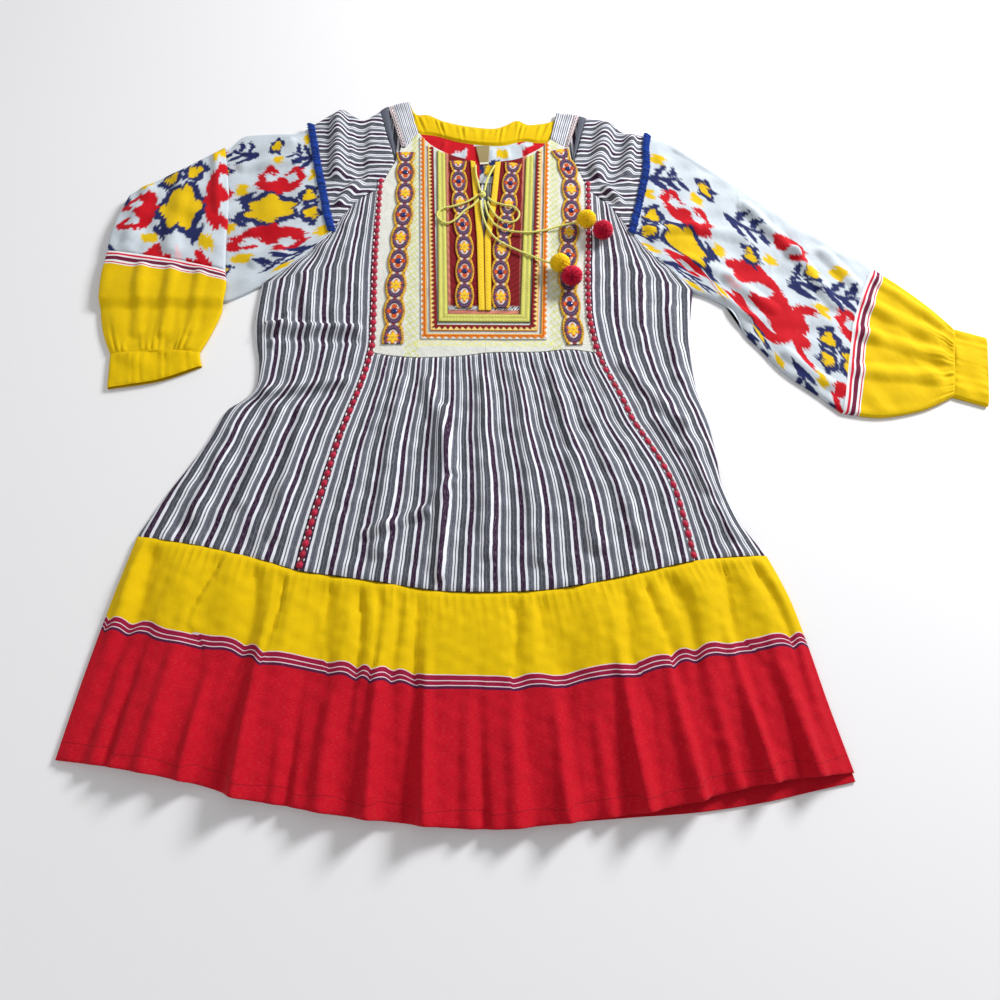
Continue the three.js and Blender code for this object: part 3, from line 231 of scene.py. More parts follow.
LEFT_WRIST = [(-288, -3), (-325, -2), (-373, -6)]
LEFT_CUFF_RIGHT = [(-288, -3), (-286, -11), (-283, -19)]
LEFT_CUFF_LEFT = [(-373, -6), (-370, -25), (-367, -44)]
LEFT_CUFF_END = [(-283, -19), (-320, -35), (-367, -44)]
RIGHT_TOP = [
    (200, 314), (228, 301), (260, 271), (298, 231), (333, 196), (377, 154), (415, 122), (428, 110),
]
RIGHT_LOW = [
    (220, 76), (240, 67), (260, 50), (267, 24), (282, 1), (298, -24), (326, -50), (347, -71),
]
RIGHT_LINES = [(428, 110), (388, 40), (347, -71)]
RIGHT_BORDER_TOP = [(428, 110), (455, 82), (478, 54), (494, 29)]
RIGHT_BORDER_LOW = [(347, -71), (385, -76), (430, -68), (466, -53)]
RIGHT_WRIST = [(494, 29), (480, -12), (466, -53)]
RIGHT_CUFF_TOP = [(494, 29), (510, 23.5), (526, 18)]
RIGHT_CUFF_LOW = [(466, -53), (482, -58.5), (498, -64)]
RIGHT_CUFF_END = [(526, 18), (512, -23), (498, -64)]
SHOULDER_FOLDS = folds([
    (-179, 345, -172, 240, 13, 5), (-150, 335, -148, 235, 12, -2.2), (-148, 228, -166, 196, 9, 3),
    (152, 338, 130, 245, 15, 4.5), (168, 318, 148, 240, 11, -2.3), (181, 312, 168, 250, 10, 3),
    (140, 222, 152, 205, 9, 3),
])
BODY_FOLDS = folds([
    (-222, 27, -135, 24, 8, 3.5), (-220, 14, -135, 11, 7, -1.8), (-216, -50, -142, -38, 9, 3.5),
    (-205, 40, -215, 5, 8, 2.5), (-200, -75, -222, -160, 12, 3), (-240, -95, -262, -175, 11, 2.5),
    (-178, -70, -190, -190, 11, 2.5), (-195, 90, -185, 40, 10, 2), (-150, 130, -150, 60, 9, 1.6),
    (-88, -40, -100, -205, 12, 2.6), (-45, -70, -47, -228, 9, 4), (-62, -40, -38, -130, 10, 3),
    (-112, -192, -62, -172, 8, 2.6), (-60, -172, -38, -145, 8, 2.6), (-8, -35, -6, -210, 11, 3),
    (28, -30, 38, -215, 11, 2.6), (62, -30, 88, -205, 11, 3), (90, -60, 128, -200, 9, 2.4),
    (134, -20, 182, -84, 10, 3), (182, -84, 196, -150, 10, 3), (160, -80, 178, -112, 8, 2.2),
    (192, 50, 188, -30, 10, 2.2), (160, 110, 158, 30, 10, 1.8), (205, -170, 214, -195, 9, 2.5),
])
SLEEVE_LEFT_FOLDS = folds([
    (-224, 262, -280, 250, 12, 3.5), (-232, 292, -280, 272, 9, 3), (-212, 174, -256, 154, 14, 3.5),
    (-224, 124, -248, 108, 10, 3),
])
SLEEVE_LOWER_FOLDS = folds([
    (-312, 262, -296, 180, 10, 2.5), (-345, 232, -338, 120, 14, 3), (-378, 205, -382, 120, 13, 3),
])
SLEEVE_RIGHT_FOLDS = folds([
    (186, 160, 232, 164, 12, 4), (232, 164, 290, 150, 13, 3), (238, 292, 330, 208, 12, 4),
    (300, 198, 342, 128, 12, 5), (342, 128, 370, 58, 12, 5), (262, 92, 300, 52, 12, 3.5),
    (250, 64, 276, 40, 8, 4), (220, 118, 262, 96, 12, 3), (375, 130, 402, 82, 11, 3.5),
    (305, -5, 340, -40, 10, 3),
])
BORDER_LEFT_FOLDS = folds([
    (-300, 92, -300, 22, 9, 2.4), (-330, 96, -326, 20, 10, 3), (-362, 100, -352, 20, 10, 3),
])
BORDER_RIGHT_FOLDS = folds([
    (402, 62, 472, 14, 14, 4), (388, 22, 464, -8, 13, 4), (372, -24, 452, -32, 13, 4),
    (425, 92, 478, 34, 10, 3),
])
TIER_FOLDS = [TierFold(*row) for row in [
    (-300, 0.30, 11, 5), (-262, 0.10, 12, 6.5), (-232, 0.35, 9, 5), (-193, 0.05, 12, 8.5),
    (-163, 0.40, 9, 5), (-130, 0.20, 11, 6), (-95, 0.02, 12, 9), (-56, 0.05, 12, 9),
    (-20, 0.30, 11, 6), (15, 0.15, 12, 6.5), (52, 0.25, 11, 6), (82, 0.40, 9, 5),
    (108, 0.02, 12, 8.5), (149, 0.10, 12, 8), (180, 0.35, 9, 5), (207, 0.05, 11, 8), (242, 0.20, 11, 6),
]]
LABEL_CORNERS = [(-12, 292), (5, 293), (3, 262), (-7, 261)]

# Strips beside the neck, from the neck outward: their ends at the shoulder and on the bib
NECK_STRIPS = {
    "left": (
        [(-94, 366), (-114, 360), (-120, 358), (-130, 351)],
        [(-81, 311.8), (-95.3, 287.4), (-101, 287.2), (-106.5, 262.5)],
    ),
    "right": (
        [(90, 353), (111, 348), (118, 347), (127, 346)],
        [(79, 304.8), (95.3, 292.2), (101, 292.2), (103.5, 262.5)],
    ),
}
TIP_WIDTH = 0.5
TIP_SLANT = 4.0
YOKE_LOWER = 232.0
SLIT_POINT = (-4.2, 144)
BIB_SHOULDER = {
    "left": [(-101, 285.6), (-96, 285.8), (-81, 311)],
    "right": [(101, 290.6), (95, 290.8), (79, 304)],
}
BIB_SIDE = {
    "left": [(-101, 285.6), (-106.5, 262), (-113, 246), (-122, 219)],
    "right": [(101, 290.6), (103.5, 262), (110, 248), (118, 219)],
}

# Sleeves
HEM_LEVEL = 3.6
PUFF_RISE = 1.5
FOLD_NARROW = 0.7
SLEEVE_ROLL = 12.0
WRIST_LEVEL = 5.0
HIDDEN_DROP = 1.2
HIDDEN_FROM = -246.0
HIDDEN_FADE = 22.0
FOLD_INSET = (4.8, -5.4)
OVERLAP_LEVEL = 5.1
OVERLAP_END = 46.0
OVERLAP_FADE = 14.0
TRIM_MARGIN = 7.0
TRIM_FADE = 10.0

# Trims on the bib and along the seams
OUTER_CHAIN = {
    "left": [
        (-95, 276), (-94, 242), (-93, 208), (-94, 173), (-96, 134), (-97, 102), (-98, 70), (-98, 40),
        (-98, 5),
    ],
    "right": [
        (89, 285), (96, 257), (98, 242), (98, 208), (95, 178), (90, 147), (87, 112), (85, 80), (85, 45),
        (86, 5),
    ],
}
INNER_CHAIN = {
    "left": [(-32.9, 263), (-31.9, 223), (-29.5, 188), (-27, 156), (-25.5, 124), (-25.5, 89), (-26, 50)],
    "right": [(32.5, 261), (28.3, 231), (24.4, 193), (19.4, 158), (14.5, 124), (12.8, 92), (12.4, 50)],
}
OUTER_HALF = 11.2
INNER_SHOWN = 10.2  # the inner ribbons nearly reach the plackets
Frame = namedtuple("Frame", "left right bottom top_left_x top_left_y top_right_x top_right_y width")
FRAMES = {
    "orange_frame": Frame(-69.5, 58, 11.5, -79, 303, 77.6, 298, 6),
    "maroon_frame": Frame(-60.6, 49.1, 21.5, -69.4, 289, 67.6, 285, 7),
    "neon_frame": Frame(-52.7, 41.6, 32, -58, 280, 57.6, 276, 10),
}
FRAME_SLANT = 0.6
PLACKETS = {
    "placket_left": ([(-12.6, 262), (-8.4, 193), (-4.6, 144), (-4.6, 47)],
                     [(-18.6, 264), (-14.7, 193), (-12.2, 144), (-11.2, 47)]),
    "placket_right": ([(10.8, 262), (3.6, 193), (-3.8, 144), (-4.1, 47)],
                      [(17.6, 263), (10.8, 193), (3.6, 144), (2.1, 47)]),
}

# Neck cord and pompoms
KNOT = (-5, 206, CORD_LEVEL + 1.6)
TIE = {
    "tie_strand_left": [(-12.5, 254), (-12.2, 240), (-9.5, 224), (-7.5, 213)],
    "tie_strand_right": [(10, 254), (4, 240), (0, 227), (-2.6, 213)],
    "tie_loop_left": [
        (-10.5, 206), (-22, 196.5), (-38, 189), (-50, 185.5), (-56, 177.5), (-53, 168.5), (-44.5, 163.5),
        (-35, 170), (-26, 182), (-16, 191), (-9.8, 200),
    ],
    "tie_loop_right": [
        (1.0, 203), (8, 196), (19, 192), (30, 189), (36, 180), (33, 170), (25, 166), (15, 169.5),
        (7, 180), (0.5, 196),
    ],
    "tie_tail_upper": [
        (-3.2, 198.5), (-2, 190), (1, 176), (8, 163), (19, 155), (34, 152), (49, 152), (64, 155),
        (78, 160, 9.3), (91, 163, 10.8), (100.4, 163.4, 13),
    ],
    "tie_tail_lower": [
        (-7.4, 198), (-6.5, 185), (-4, 170), (1, 155), (8, 143), (17, 135), (30, 127), (44, 119.5),
        (57, 112, 9.8), (67.4, 105.4, 12.3),
    ],
}
LACE_TOP = TRIM_BASE + TRIM_CLOTH + 1.4
RIBBON_TOP = TRIM_BASE + TRIM_CLOTH + 0.7
POMPOMS = {
    "pompom_yellow_upper": (109.5, 163.5, YELLOW_POMPOM, LACE_TOP),
    "pompom_crimson_upper": (127, 150, CRIMSON_POMPOM, FRONT_LEVEL),
    "pompom_yellow_lower": (76, 101.5, YELLOW_POMPOM, RIBBON_TOP),
    "pompom_crimson_lower": (87.5, 84, CRIMSON_POMPOM, RIBBON_TOP),
}
POMPOM_SQUASH = 0.88


# Lines on the plan
SPLINE_STEPS = 16


def line(*tables):
    """A smooth line through the points of one table after another, as many close points."""
    parts = []
    share = np.linspace(0, 1, SPLINE_STEPS, endpoint=False)[:, None]
    for table in tables:
        knots = np.array(table, float)
        knots = np.vstack([knots[:1], knots, knots[-1:]])
        for a, b, c, d in zip(knots, knots[1:], knots[2:], knots[3:]):
            start, end = (c - a) / 2, (d - b) / 2
            cubic = (2 * b - 2 * c + start + end) * share**3
            square = (3 * c - 3 * b - 2 * start - end) * share**2
            parts.append(cubic + square + start * share + b)
        parts.append(knots[-1:])
    return np.vstack(parts)


def run_of(points):
    """Length along a line from its start to each of its points."""
    return np.concatenate([[0.0], np.cumsum(np.linalg.norm(np.diff(points, axis=0), axis=1))])


def at(points, shares):
    """Points at these shares of a line's length."""
    run = run_of(points)
    return np.stack([np.interp(np.asarray(shares) * run[-1], run, column) for column in points.T], -1)


def smooth(t):
    """0 below 0 and 1 above 1, with a soft S between."""
    t = np.clip(t, 0.0, 1.0)
    return t * t * (3 - 2 * t)


def between(low, high, share):
    return low + (high - low) * share


def distance(plan, points):
    """Distance from each place on the plan to a line."""
    least = np.full(plan.shape[:-1], np.inf)
    for start, along in zip(points[:-1], np.diff(points, axis=0)):
        squared = along @ along
        if squared > 0:
            share = np.clip((plan - start) @ along / squared, 0, 1)
            least = np.minimum(least, np.linalg.norm(plan - start - share[..., None] * along, axis=-1))
    return least


def nearest(plan, lines):
    """Distance from each place on the plan to the nearest of these lines."""
    return np.min([distance(plan, points) for points in lines], axis=0)


def shares(length, cell, edges=(0.7, 1.8)):
    """Even shares of a length, cell apart, with a few more close to both ends for the seams."""
    count = max(2, round(length / cell))
    inner = [e / length for e in edges if e < length / 4]
    return np.unique(np.concatenate([np.linspace(0, 1, count + 1), inner, [1 - e for e in inner]]))


def patch(start, end, near, far, across, along):
    """A grid of places between four lines: across runs from near to far, along from start to end."""
    u, v = across[None, :, None], along[:, None, None]
    corners = (1 - v) * ((1 - u) * start[0] + u * start[-1]) + v * ((1 - u) * end[0] + u * end[-1])
    sides = (1 - v) * at(start, across)[None] + v * at(end, across)[None]
    return sides + (1 - u) * at(near, along)[:, None] + u * at(far, along)[:, None] - corners


def fold_rise(plan, table):
    """Height of a table's folds: soft ridges, each along its own short line."""
    rise = np.zeros(plan.shape[:-1])
    for fold in table:
        ends = np.array([(fold.x0, fold.y0), (fold.x1, fold.y1)], float)
        near = np.minimum(distance(plan, ends) / fold.half, 1)
        rise += fold.rise * (1 - near * near) ** 2
    return rise


def ripple(plan, size, seed):
    """Soft random waves about size across, from -1 to 1 or so."""
    draw = np.random.default_rng(seed)
    total = np.zeros(plan.shape[:-1])
    waves = 9
    for _ in range(waves):
        turn, phase, scale = draw.uniform(0, math.pi), draw.uniform(0, 2 * math.pi), draw.uniform(0.7, 1.5)
        run = plan[..., 0] * math.cos(turn) + plan[..., 1] * math.sin(turn)
        total += np.sin(run * 2 * math.pi / (size * scale) + phase)
    return total / math.sqrt(waves)


SLOW_WAVES = (1, 2, 3, 5)
Gather = namedtuple("Gather", "rise count reach seed sharp", defaults=[5])
FACING_GATHERS = Gather(1.2, 23, 1.4, 3)
SIDE_GATHERS = Gather(0.7, 12, 0.2, 5)
BIB_SMALL = Gather(1.6, 46, 0.25, 11)
BIB_LARGE = Gather(2.6, 15, 1.1, 19)
TIER_SMALL = Gather(1.9, TIER_GATHERS * 2, 0.24, 7)
TIER_LARGE = Gather(5.2, 17, 1.2, 13, sharp=3)


def bent(draw, across, low, high):
    """Slow random waves across a seam, which keep its gathers from being even."""
    return sum(
        draw.uniform(low, high) * np.sin(2 * math.pi * turns * across + draw.uniform(0, 6))
        for turns in SLOW_WAVES
    )


def gathers(across, along, gather):
    """Uneven small pleats across a seam, both ways from 0, that fade out along the cloth."""
    draw = np.random.default_rng(gather.seed)
    bend = bent(draw, across, 0.1, 0.35)
    size = 0.65 + 0.35 * np.sin(2 * math.pi * across * gather.count / 3.7 + draw.uniform(0, 6))
    pleat = np.sin(2 * math.pi * (gather.count * across + bend)) * size
    reach = gather.reach * (0.6 + 0.4 * np.sin(across * gather.count * 2.1 + gather.seed))
    return gather.rise * pleat * smooth(1 - along / reach)


CREASE_WIDTH = 0.13  # as a share of a wave's height
CREASE_PULL = np.array([1.0, 0.35])  # creases run down the cloth more than across it


def creases(plan, size, seed):
    """Fine sharp ridges that wander over the cloth, from 0 to 1."""
    pulled = plan * CREASE_PULL
    held = smooth(0.5 + 0.5 * ripple(pulled, 2.6 * size, seed + 1))
    return np.exp(-((ripple(pulled, size, seed) / CREASE_WIDTH) ** 2)) * held


def puckers(across, along, gather):
    """Gathers with round crests and sharp valleys, of uneven size and reach, below 0."""
    draw = np.random.default_rng(gather.seed)
    turns = gather.count * across + bent(draw, across, 0.2, 0.5) + 0.12 * np.sin(along * 9 + across * 40)
    spare = 4 * gather.count + 9
    number = np.floor(turns).astype(int) % spare
    size = draw.uniform(0.0, 1.0, spare)[number]
    long = draw.uniform(0.45, 1.3, spare)[number]
    valley = np.abs(np.cos(math.pi * turns)) ** gather.sharp
    fade = smooth(1 - along / (gather.reach * long))
    return -gather.rise * valley * fade * (0.25 + 0.75 * size)


STEEP, GENTLE = 0.22, 1.1  # a pleat's two sides, as shares of its width


def pleats(places, across, along, wide, rise):
    """Soft pleats, steep on one side and gentle on the other, that grow along the cloth."""
    total = np.zeros(np.broadcast(across, along).shape)
    for place, reach, lean in places:
        run = (across - place) * lean / wide
        near = np.exp(-((run / np.where(run < 0, STEEP, GENTLE)) ** 2))
        total = total + rise * near * smooth((along - reach) / (1.05 - reach))
    return total


RIM_STEPS, TRIM_STEPS = 41, 61
RIMS = [
    at(line(table), np.linspace(0, 1, RIM_STEPS))
    for table in (SIDE_LEFT, SIDE_RIGHT, SHOULDER_TOP_LEFT, SHOULDER_TOP_RIGHT)
]
TRIM_LINES = [
    at(line(table), np.linspace(0, 1, TRIM_STEPS))
    for table in (
        BINDING_OUTER_LEFT + PRINCESS_LEFT[1:], BINDING_OUTER_RIGHT + PRINCESS_RIGHT[1:],
        ARM_LEFT, ARM_RIGHT, BIB_BOTTOM,
    )
]
TIER_SIDES = [line(TIER_LEFT), line(TIER_RIGHT)]
Waves = namedtuple("Waves", "size crease_size crease_share")
FRONT_WAVES = Waves(26, 44, 0.6)
SLEEVE_WAVES = Waves(34, 60, 0.4)


def fine_waves(plan, waves, seed):
    """The cloth's small waves and creases, in millimetres."""
    fine = ripple(plan, waves.size, seed) + waves.crease_share * creases(plan, waves.crease_size, seed + 1)
    return sizes().crumple * fine


def rolled(share):
    """The height of a rounded rim, from 0 at its foot to 1."""
    left = 1 - np.clip(share, 0, 1)
    return np.sqrt(1 - left * left)


def clear_of_trims(plan):
    """0 where a trim is sewn on and the cloth is flat, 1 away from it."""
    return smooth((nearest(plan, TRIM_LINES) - TRIM_MARGIN) / TRIM_FADE)


def front_top(plan, table, seed):
    """Height of the front's upper face: rolled at the rims, flat under trims, with its folds."""
    rim = nearest(plan, RIMS) / RIM_ROLL
    free = clear_of_trims(plan) * smooth(rim)
    rise = sizes().fold_depth * fold_rise(plan, table) + fine_waves(plan, FRONT_WAVES, seed)
    level = RIM_LEVEL + (FRONT_LEVEL - RIM_LEVEL) * rolled(rim)
    return np.maximum(level + rise * free, RIM_LEVEL)


def tier_top(plan, across, along):
    """Height of the tier's upper face: puffed below its seam, low at the hem, with its large folds."""
    side = nearest(plan, TIER_SIDES) / RIM_ROLL
    puff = PUFF_RISE * np.sin(math.pi * np.minimum(along * 2, 1))
    level = FRONT_LEVEL + puff - (FRONT_LEVEL - HEM_LEVEL) * smooth(along)
    hem_x = between(HEM[0][0], HEM[-1][0], across)
    rise = np.zeros(plan.shape[:-1])
    for fold in TIER_FOLDS:
        grown = smooth((along - fold.reach) / (1 - fold.reach))
        near = np.minimum(np.abs(hem_x - fold.x) / (fold.half * between(FOLD_NARROW, 1, along)), 1)
        rise += fold.rise * grown * (1 - near * near) ** 2
    return RIM_LEVEL + (level - RIM_LEVEL) * rolled(side) + rise * smooth(side)


SLEEVE_FOLD = 0.6  # folds on the flattened sleeves are lower


def tube_top(plan, floor, top, table, ends, seed):
    """Height of a sleeve's upper face over its floor, rolled down at both sides."""
    side = nearest(plan, (plan[:, 0], plan[:, -1])) / SLEEVE_ROLL
    run = np.linspace(0, 1, len(plan))[:, None] * run_of(plan[:, plan.shape[1] // 2])[-1]
    free = clear_of_trims(plan) * smooth(side)
    free = free * smooth(run / ends) * smooth((run[-1] - run) / ends)
    rise = SLEEVE_FOLD * sizes().fold_depth * fold_rise(plan, table) + fine_waves(plan, SLEEVE_WAVES, seed)
    low = floor + RIM_LEVEL
    return low + (top - low) * rolled(side) + rise * free


def overlap_floor(plan):
    """Height of what the folded sleeve lies on."""
    return OVERLAP_LEVEL * smooth((plan[..., 1] - OVERLAP_END) / OVERLAP_FADE)


def raised(plan, height):
    """Places in space from places on the plan and their heights."""
    return np.dstack([plan, np.broadcast_to(height, plan.shape[:-1])])


def cloth_lengths(plan, grip=0.6):
    """Lengths of cloth across and along a grid. A panel keeps its stripes as far as grip says."""
    across_run = np.cumsum(np.linalg.norm(np.diff(plan, axis=1), axis=2), axis=1)
    across_run = np.hstack([np.zeros((len(plan), 1)), across_run])
    width = across_run[:, -1:]
    across_run = across_run / width * between(width, width.mean(), grip)
    middle = plan[:, plan.shape[1] // 2]
    along_run = np.broadcast_to(run_of(middle)[:, None], across_run.shape)
    return np.dstack([across_run, along_run])


NARROWEST_SHEET = 0.01
SAME_PLACE = 2e-6


def grid_faces(rows, columns):
    """The quads between the points of a grid, which are numbered row by row."""
    index = np.arange(rows * columns).reshape(rows, columns)
    corners = index[:-1, :-1], index[:-1, 1:], index[1:, 1:], index[1:, :-1]
    return np.stack(corners, -1).reshape(-1, 4)


class Parts:
    """Points, faces and dyes gathered into one mesh."""

    def __init__(self):
        self.points = []
        self.faces = []
        self.dyes = []
        self.count = 0

    def put(self, points, faces, dye=None):
        """Adds points, the faces between them, numbered from 0, and their dye."""
        self.points.append(points)
        self.faces.append(faces + self.count)
        if dye is not None:
            self.dyes.append(np.broadcast_to(dye, points.shape).reshape(-1, 3))
        self.count += len(points)
        return self


class Cloth(Parts):
    """Grids of cloth gathered into one mesh, with lengths of cloth as UVs."""

    def __init__(self):
        super().__init__()
        self.uvs = []
        self.area = 0.0
        self.low = np.array([np.inf, np.inf])
        self.high = -self.low

    def add(self, grid, uv, dye=None, down=False, lengths=None):
        """Adds a grid with its upper face up, or down, and counts its area and its lengths."""
        faces = grid_faces(*grid.shape[:2])
        flat, deep = np.diff(grid[..., :2], axis=1)[:-1], np.diff(grid[..., :2], axis=0)[:, :-1]
        upward = np.sum(flat[..., 0] * deep[..., 1] - flat[..., 1] * deep[..., 0]) > 0
        if upward == down:
            faces = faces[:, ::-1]
        self.put(grid.reshape(-1, 3), faces, None if dye is None else dye.reshape(-1, 3))
        self.uvs.append(uv.reshape(-1, 2))
        wide, long = np.diff(grid, axis=1)[:-1], np.diff(grid, axis=0)[:, :-1]
        self.area += np.linalg.norm(np.cross(wide, long), axis=-1).sum() * MM * MM
        cut = (uv if lengths is None else lengths).reshape(-1, 2)
        self.low = np.minimum(self.low, cut.min(0))
        self.high = np.maximum(self.high, cut.max(0))
        return self

    def make(self, name, material, slot, wall=CLOTH, rests_on=()):
        made = mesh_object(name, self, material, np.vstack(self.uvs))
        if wall:
            thicken(made, wall)
        size = (self.high - self.low) * MM
        if min(size) >= NARROWEST_SHEET:
            declare_sheet(size, self.area)
        return seated(made, [name])


def thicken(made, wall):
    """Gives a sheet its thickness, down from its face."""
    shell = made.modifiers.new("wall", "SOLIDIFY")
    shell.thickness = wall * MM
    shell.offset = -1


def declare_sheet(size, area):
    area = min(area, size[0] * size[1])


def seated(made, nodes):
    """Holds a piece to the dress's one body, in place of its nodes."""
    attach(made, "root")
    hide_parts(*nodes)
    return made


def mesh_object(name, parts, material, uv=None):
    """One smooth mesh in the frame from parts on the plan. Corners of the same place are joined."""
    places = np.vstack(parts.points)
    places[:, :2] -= MIDDLE
    faces = [list(map(int, face)) for group in parts.faces for face in group]
    mesh = bpy.data.meshes.new(name)
    mesh.from_pydata((places * MM).tolist(), [], faces)
    corners = np.empty(len(mesh.loops), np.int32)
    mesh.loops.foreach_get("vertex_index", corners)
    if uv is not None:
        layer = mesh.uv_layers.new(name="cloth")
        layer.data.foreach_set("uv", uv[corners].astype(np.float32).ravel())
    if parts.dyes:
        rgba = np.ones((len(corners), 4), np.float32)
        rgba[:, :3] = np.vstack(parts.dyes)[corners]
        layer = mesh.color_attributes.new("dye", "FLOAT_COLOR", "CORNER")
        layer.data.foreach_set("color", rgba.ravel())
    joined = bmesh.new()
    joined.from_mesh(mesh)
    bmesh.ops.remove_doubles(joined, verts=joined.verts, dist=SAME_PLACE)
    joined.to_mesh(mesh)
    joined.free()
    mesh.shade_smooth()
    return linked(name, mesh, material)


def linked(name, mesh, material):
    mesh.materials.append(material)
    made = bpy.data.objects.new(f"{name}_dressed", mesh)
    bpy.context.scene.collection.objects.link(made)
    return made


# Dyes: colours worked out at each corner of a fine grid
IKAT_PINK = screen(226, 190, 196)
GOLD = screen(214, 160, 60)
BROWN = screen(134, 80, 44)
OVAL_PURPLE = screen(74, 48, 78)
OVAL_LILAC = screen(120, 92, 124)
FLOWER_YELLOW = screen(244, 204, 44)
FLOWER_ORANGE = screen(206, 84, 26)
BEAD_BLUE = screen(26, 36, 96)
NEON_SHADE = screen(188, 184, 88)
PALE_YELLOW = screen(248, 228, 140)
MAROON = screen(134, 28, 34)
ORANGE = screen(240, 136, 34)
ORANGE_SHADE = screen(206, 92, 22)
STITCH_GREEN = screen(206, 210, 112)
SALMON = screen(222, 140, 116)
PLACKET_YELLOW = screen(240, 196, 30)
INK = screen(34, 30, 34)
WHITE = screen(236, 236, 238)
EDGE = 0.9  # how far a dye's edge fades, in millimetres


def paint(ground, signed, colour, fade=EDGE):
    """Lays a colour where signed, a distance in millimetres, is below zero."""
    cover = smooth(0.5 - signed / fade)[..., None]
    return ground * (1 - cover) + np.asarray(colour) * cover


def painted(ground, layers):
    """Lays one layer after another: a signed distance, a colour and sometimes a fade of its own."""
    for layer in layers:
        ground = paint(ground, *layer)
    return ground


def turned(s, t, x, y, angle):
    """Places seen from (x, y) with the first axis turned by angle, in degrees."""
    a = math.radians(angle)
    return (s - x) * math.cos(a) + (t - y) * math.sin(a), (t - y) * math.cos(a) - (s - x) * math.sin(a)


def leaf(s, t, x, y, angle, long, wide):
    """Signed distance to a pointed oval."""
    p, q = turned(s, t, x, y, angle)
    share = (p / long) ** 2
    return np.where(share < 1, np.abs(q) - wide * (1 - share), np.hypot(np.abs(p) - long, q) + 0.2)


def blob(s, t, x, y, wide, long, lobes=0, depth=0.0):
    """Signed distance to an oval with lobes."""
    p, q = (s - x) / wide, (t - y) / long
    rim = 1 + depth * np.cos(lobes * np.arctan2(q, p))
    return (np.hypot(p, q) - rim) * min(wide, long)


def stroke(s, t, points, wide, tip):
    """Distance to a brush stroke along a smooth line, from half width wide to half width tip."""
    path = at(line(points), np.linspace(0, 1, 15))
    plan = np.stack([s, t], -1)
    least = np.full(s.shape, np.inf)
    for k, (start, along) in enumerate(zip(path[:-1], np.diff(path, axis=0))):
        share = np.clip((plan - start) @ along / (along @ along), 0, 1)
        reach = between(wide, tip, (k + share) / (len(path) - 1))
        least = np.minimum(least, np.linalg.norm(plan - start - share[..., None] * along, axis=-1) - reach)
    return least


IKAT_REPEAT = 226.0
THREADS = 997
THREAD = 1.5
HORNS = [
    [(42, 58), (34, 47), (38, 33), (52, 29), (62, 38), (55, 48)],
    [(42, 58), (34, 69), (38, 83), (52, 87), (62, 78), (55, 68)],
    [(8, 214), (22, 208), (34, 216), (34, 230), (24, 232)],
    [(96, 172), (106, 182), (104, 196), (92, 200), (86, 190)],
]
SPRIGS = [(70, 6, 64, 40), (84, 108, 76, 46), (52, 196, 40, 36)]
LEAVES = ((0.06, 1), (0.22, -1), (0.44, 1), (0.62, -1), (0.84, 1))
TULIPS = [(100, 76, 14, 13), (54, 146, 14, 12), (14, 18, 15, 13)]
SPOTS = [
    (30, 106, 9, 8), (76, 66, 8, 9), (104, 14, 9, 9), (84, 214, 9, 8), (44, 8, 8, 8), (66, 168, 7, 8),
]


def ikat(across, along):
    """A mirrored ikat: horns, leafy sprigs, spots and a medallion, feathered along its threads."""
    draw = np.random.default_rng(17)
    thread = np.floor(across / THREAD).astype(int) % THREADS
    loose = draw.normal(0, 1.3, THREADS)
    slow = np.convolve(draw.normal(0, 2.6, THREADS), np.ones(5) / 5, "same")
    t = (along + loose[thread] + slow[thread]) % IKAT_REPEAT
    s = np.abs(across)
    white, red, navy, yellow = (colour_of(f"ikat_{name}") for name in ("white", "red", "navy", "yellow"))
    layers = [
        (stroke(s, t, [(2, 196), (26, 178), (40, 150), (22, 120)], 16, 5), red),
        (blob(s, t, 4, 158, 40, 30, 5, 0.1), red),
        (leaf(s, t, 15, 158, 58, 25, 8), white),
        (leaf(s, t, 0, 132, 90, 22, 8), white),
        (leaf(s, t, 0, 130, 90, 13, 4), IKAT_PINK),
        (blob(s, t, 3, 66, 26, 33, 5, 0.14), navy),
        (blob(s, t, 2, 64, 18, 25, 5, 0.17), yellow),
        (leaf(s, t, 20, 98, 120, 13, 5), navy),
        *((stroke(s, t, horn, 8.5, 3.4), red) for horn in HORNS),
        (leaf(s, t, 35, 58, 0, 13, 9), red),
    ]
    for x, y, wide, long in TULIPS:
        layers += [
            (blob(s, t, x, y, wide, long, 5, 0.16), navy),
            (blob(s, t, x - 1, y - 1, wide * 0.55, long * 0.55, 3, 0.2), yellow),
        ]
    for x, y, turn, long in SPRIGS:
        p, q = turned(s, t, x, y, turn)
        layers.append((stroke(p, q, [(0, 0), (long * 0.5, 3), (long, -2)], 4.6, 1.4), navy))
        for share, side in LEAVES:
            reach = 16 * (1.05 - 0.45 * share)
            grown = leaf(p, q, long * share + 8, side * reach * 0.68, side * 42, reach, 4.3)
            layers.append((grown, navy))
    layers += [(blob(s, t, x, y, wide, long, 4, -0.1), yellow) for x, y, wide, long in SPOTS]
    return painted(white, layers)


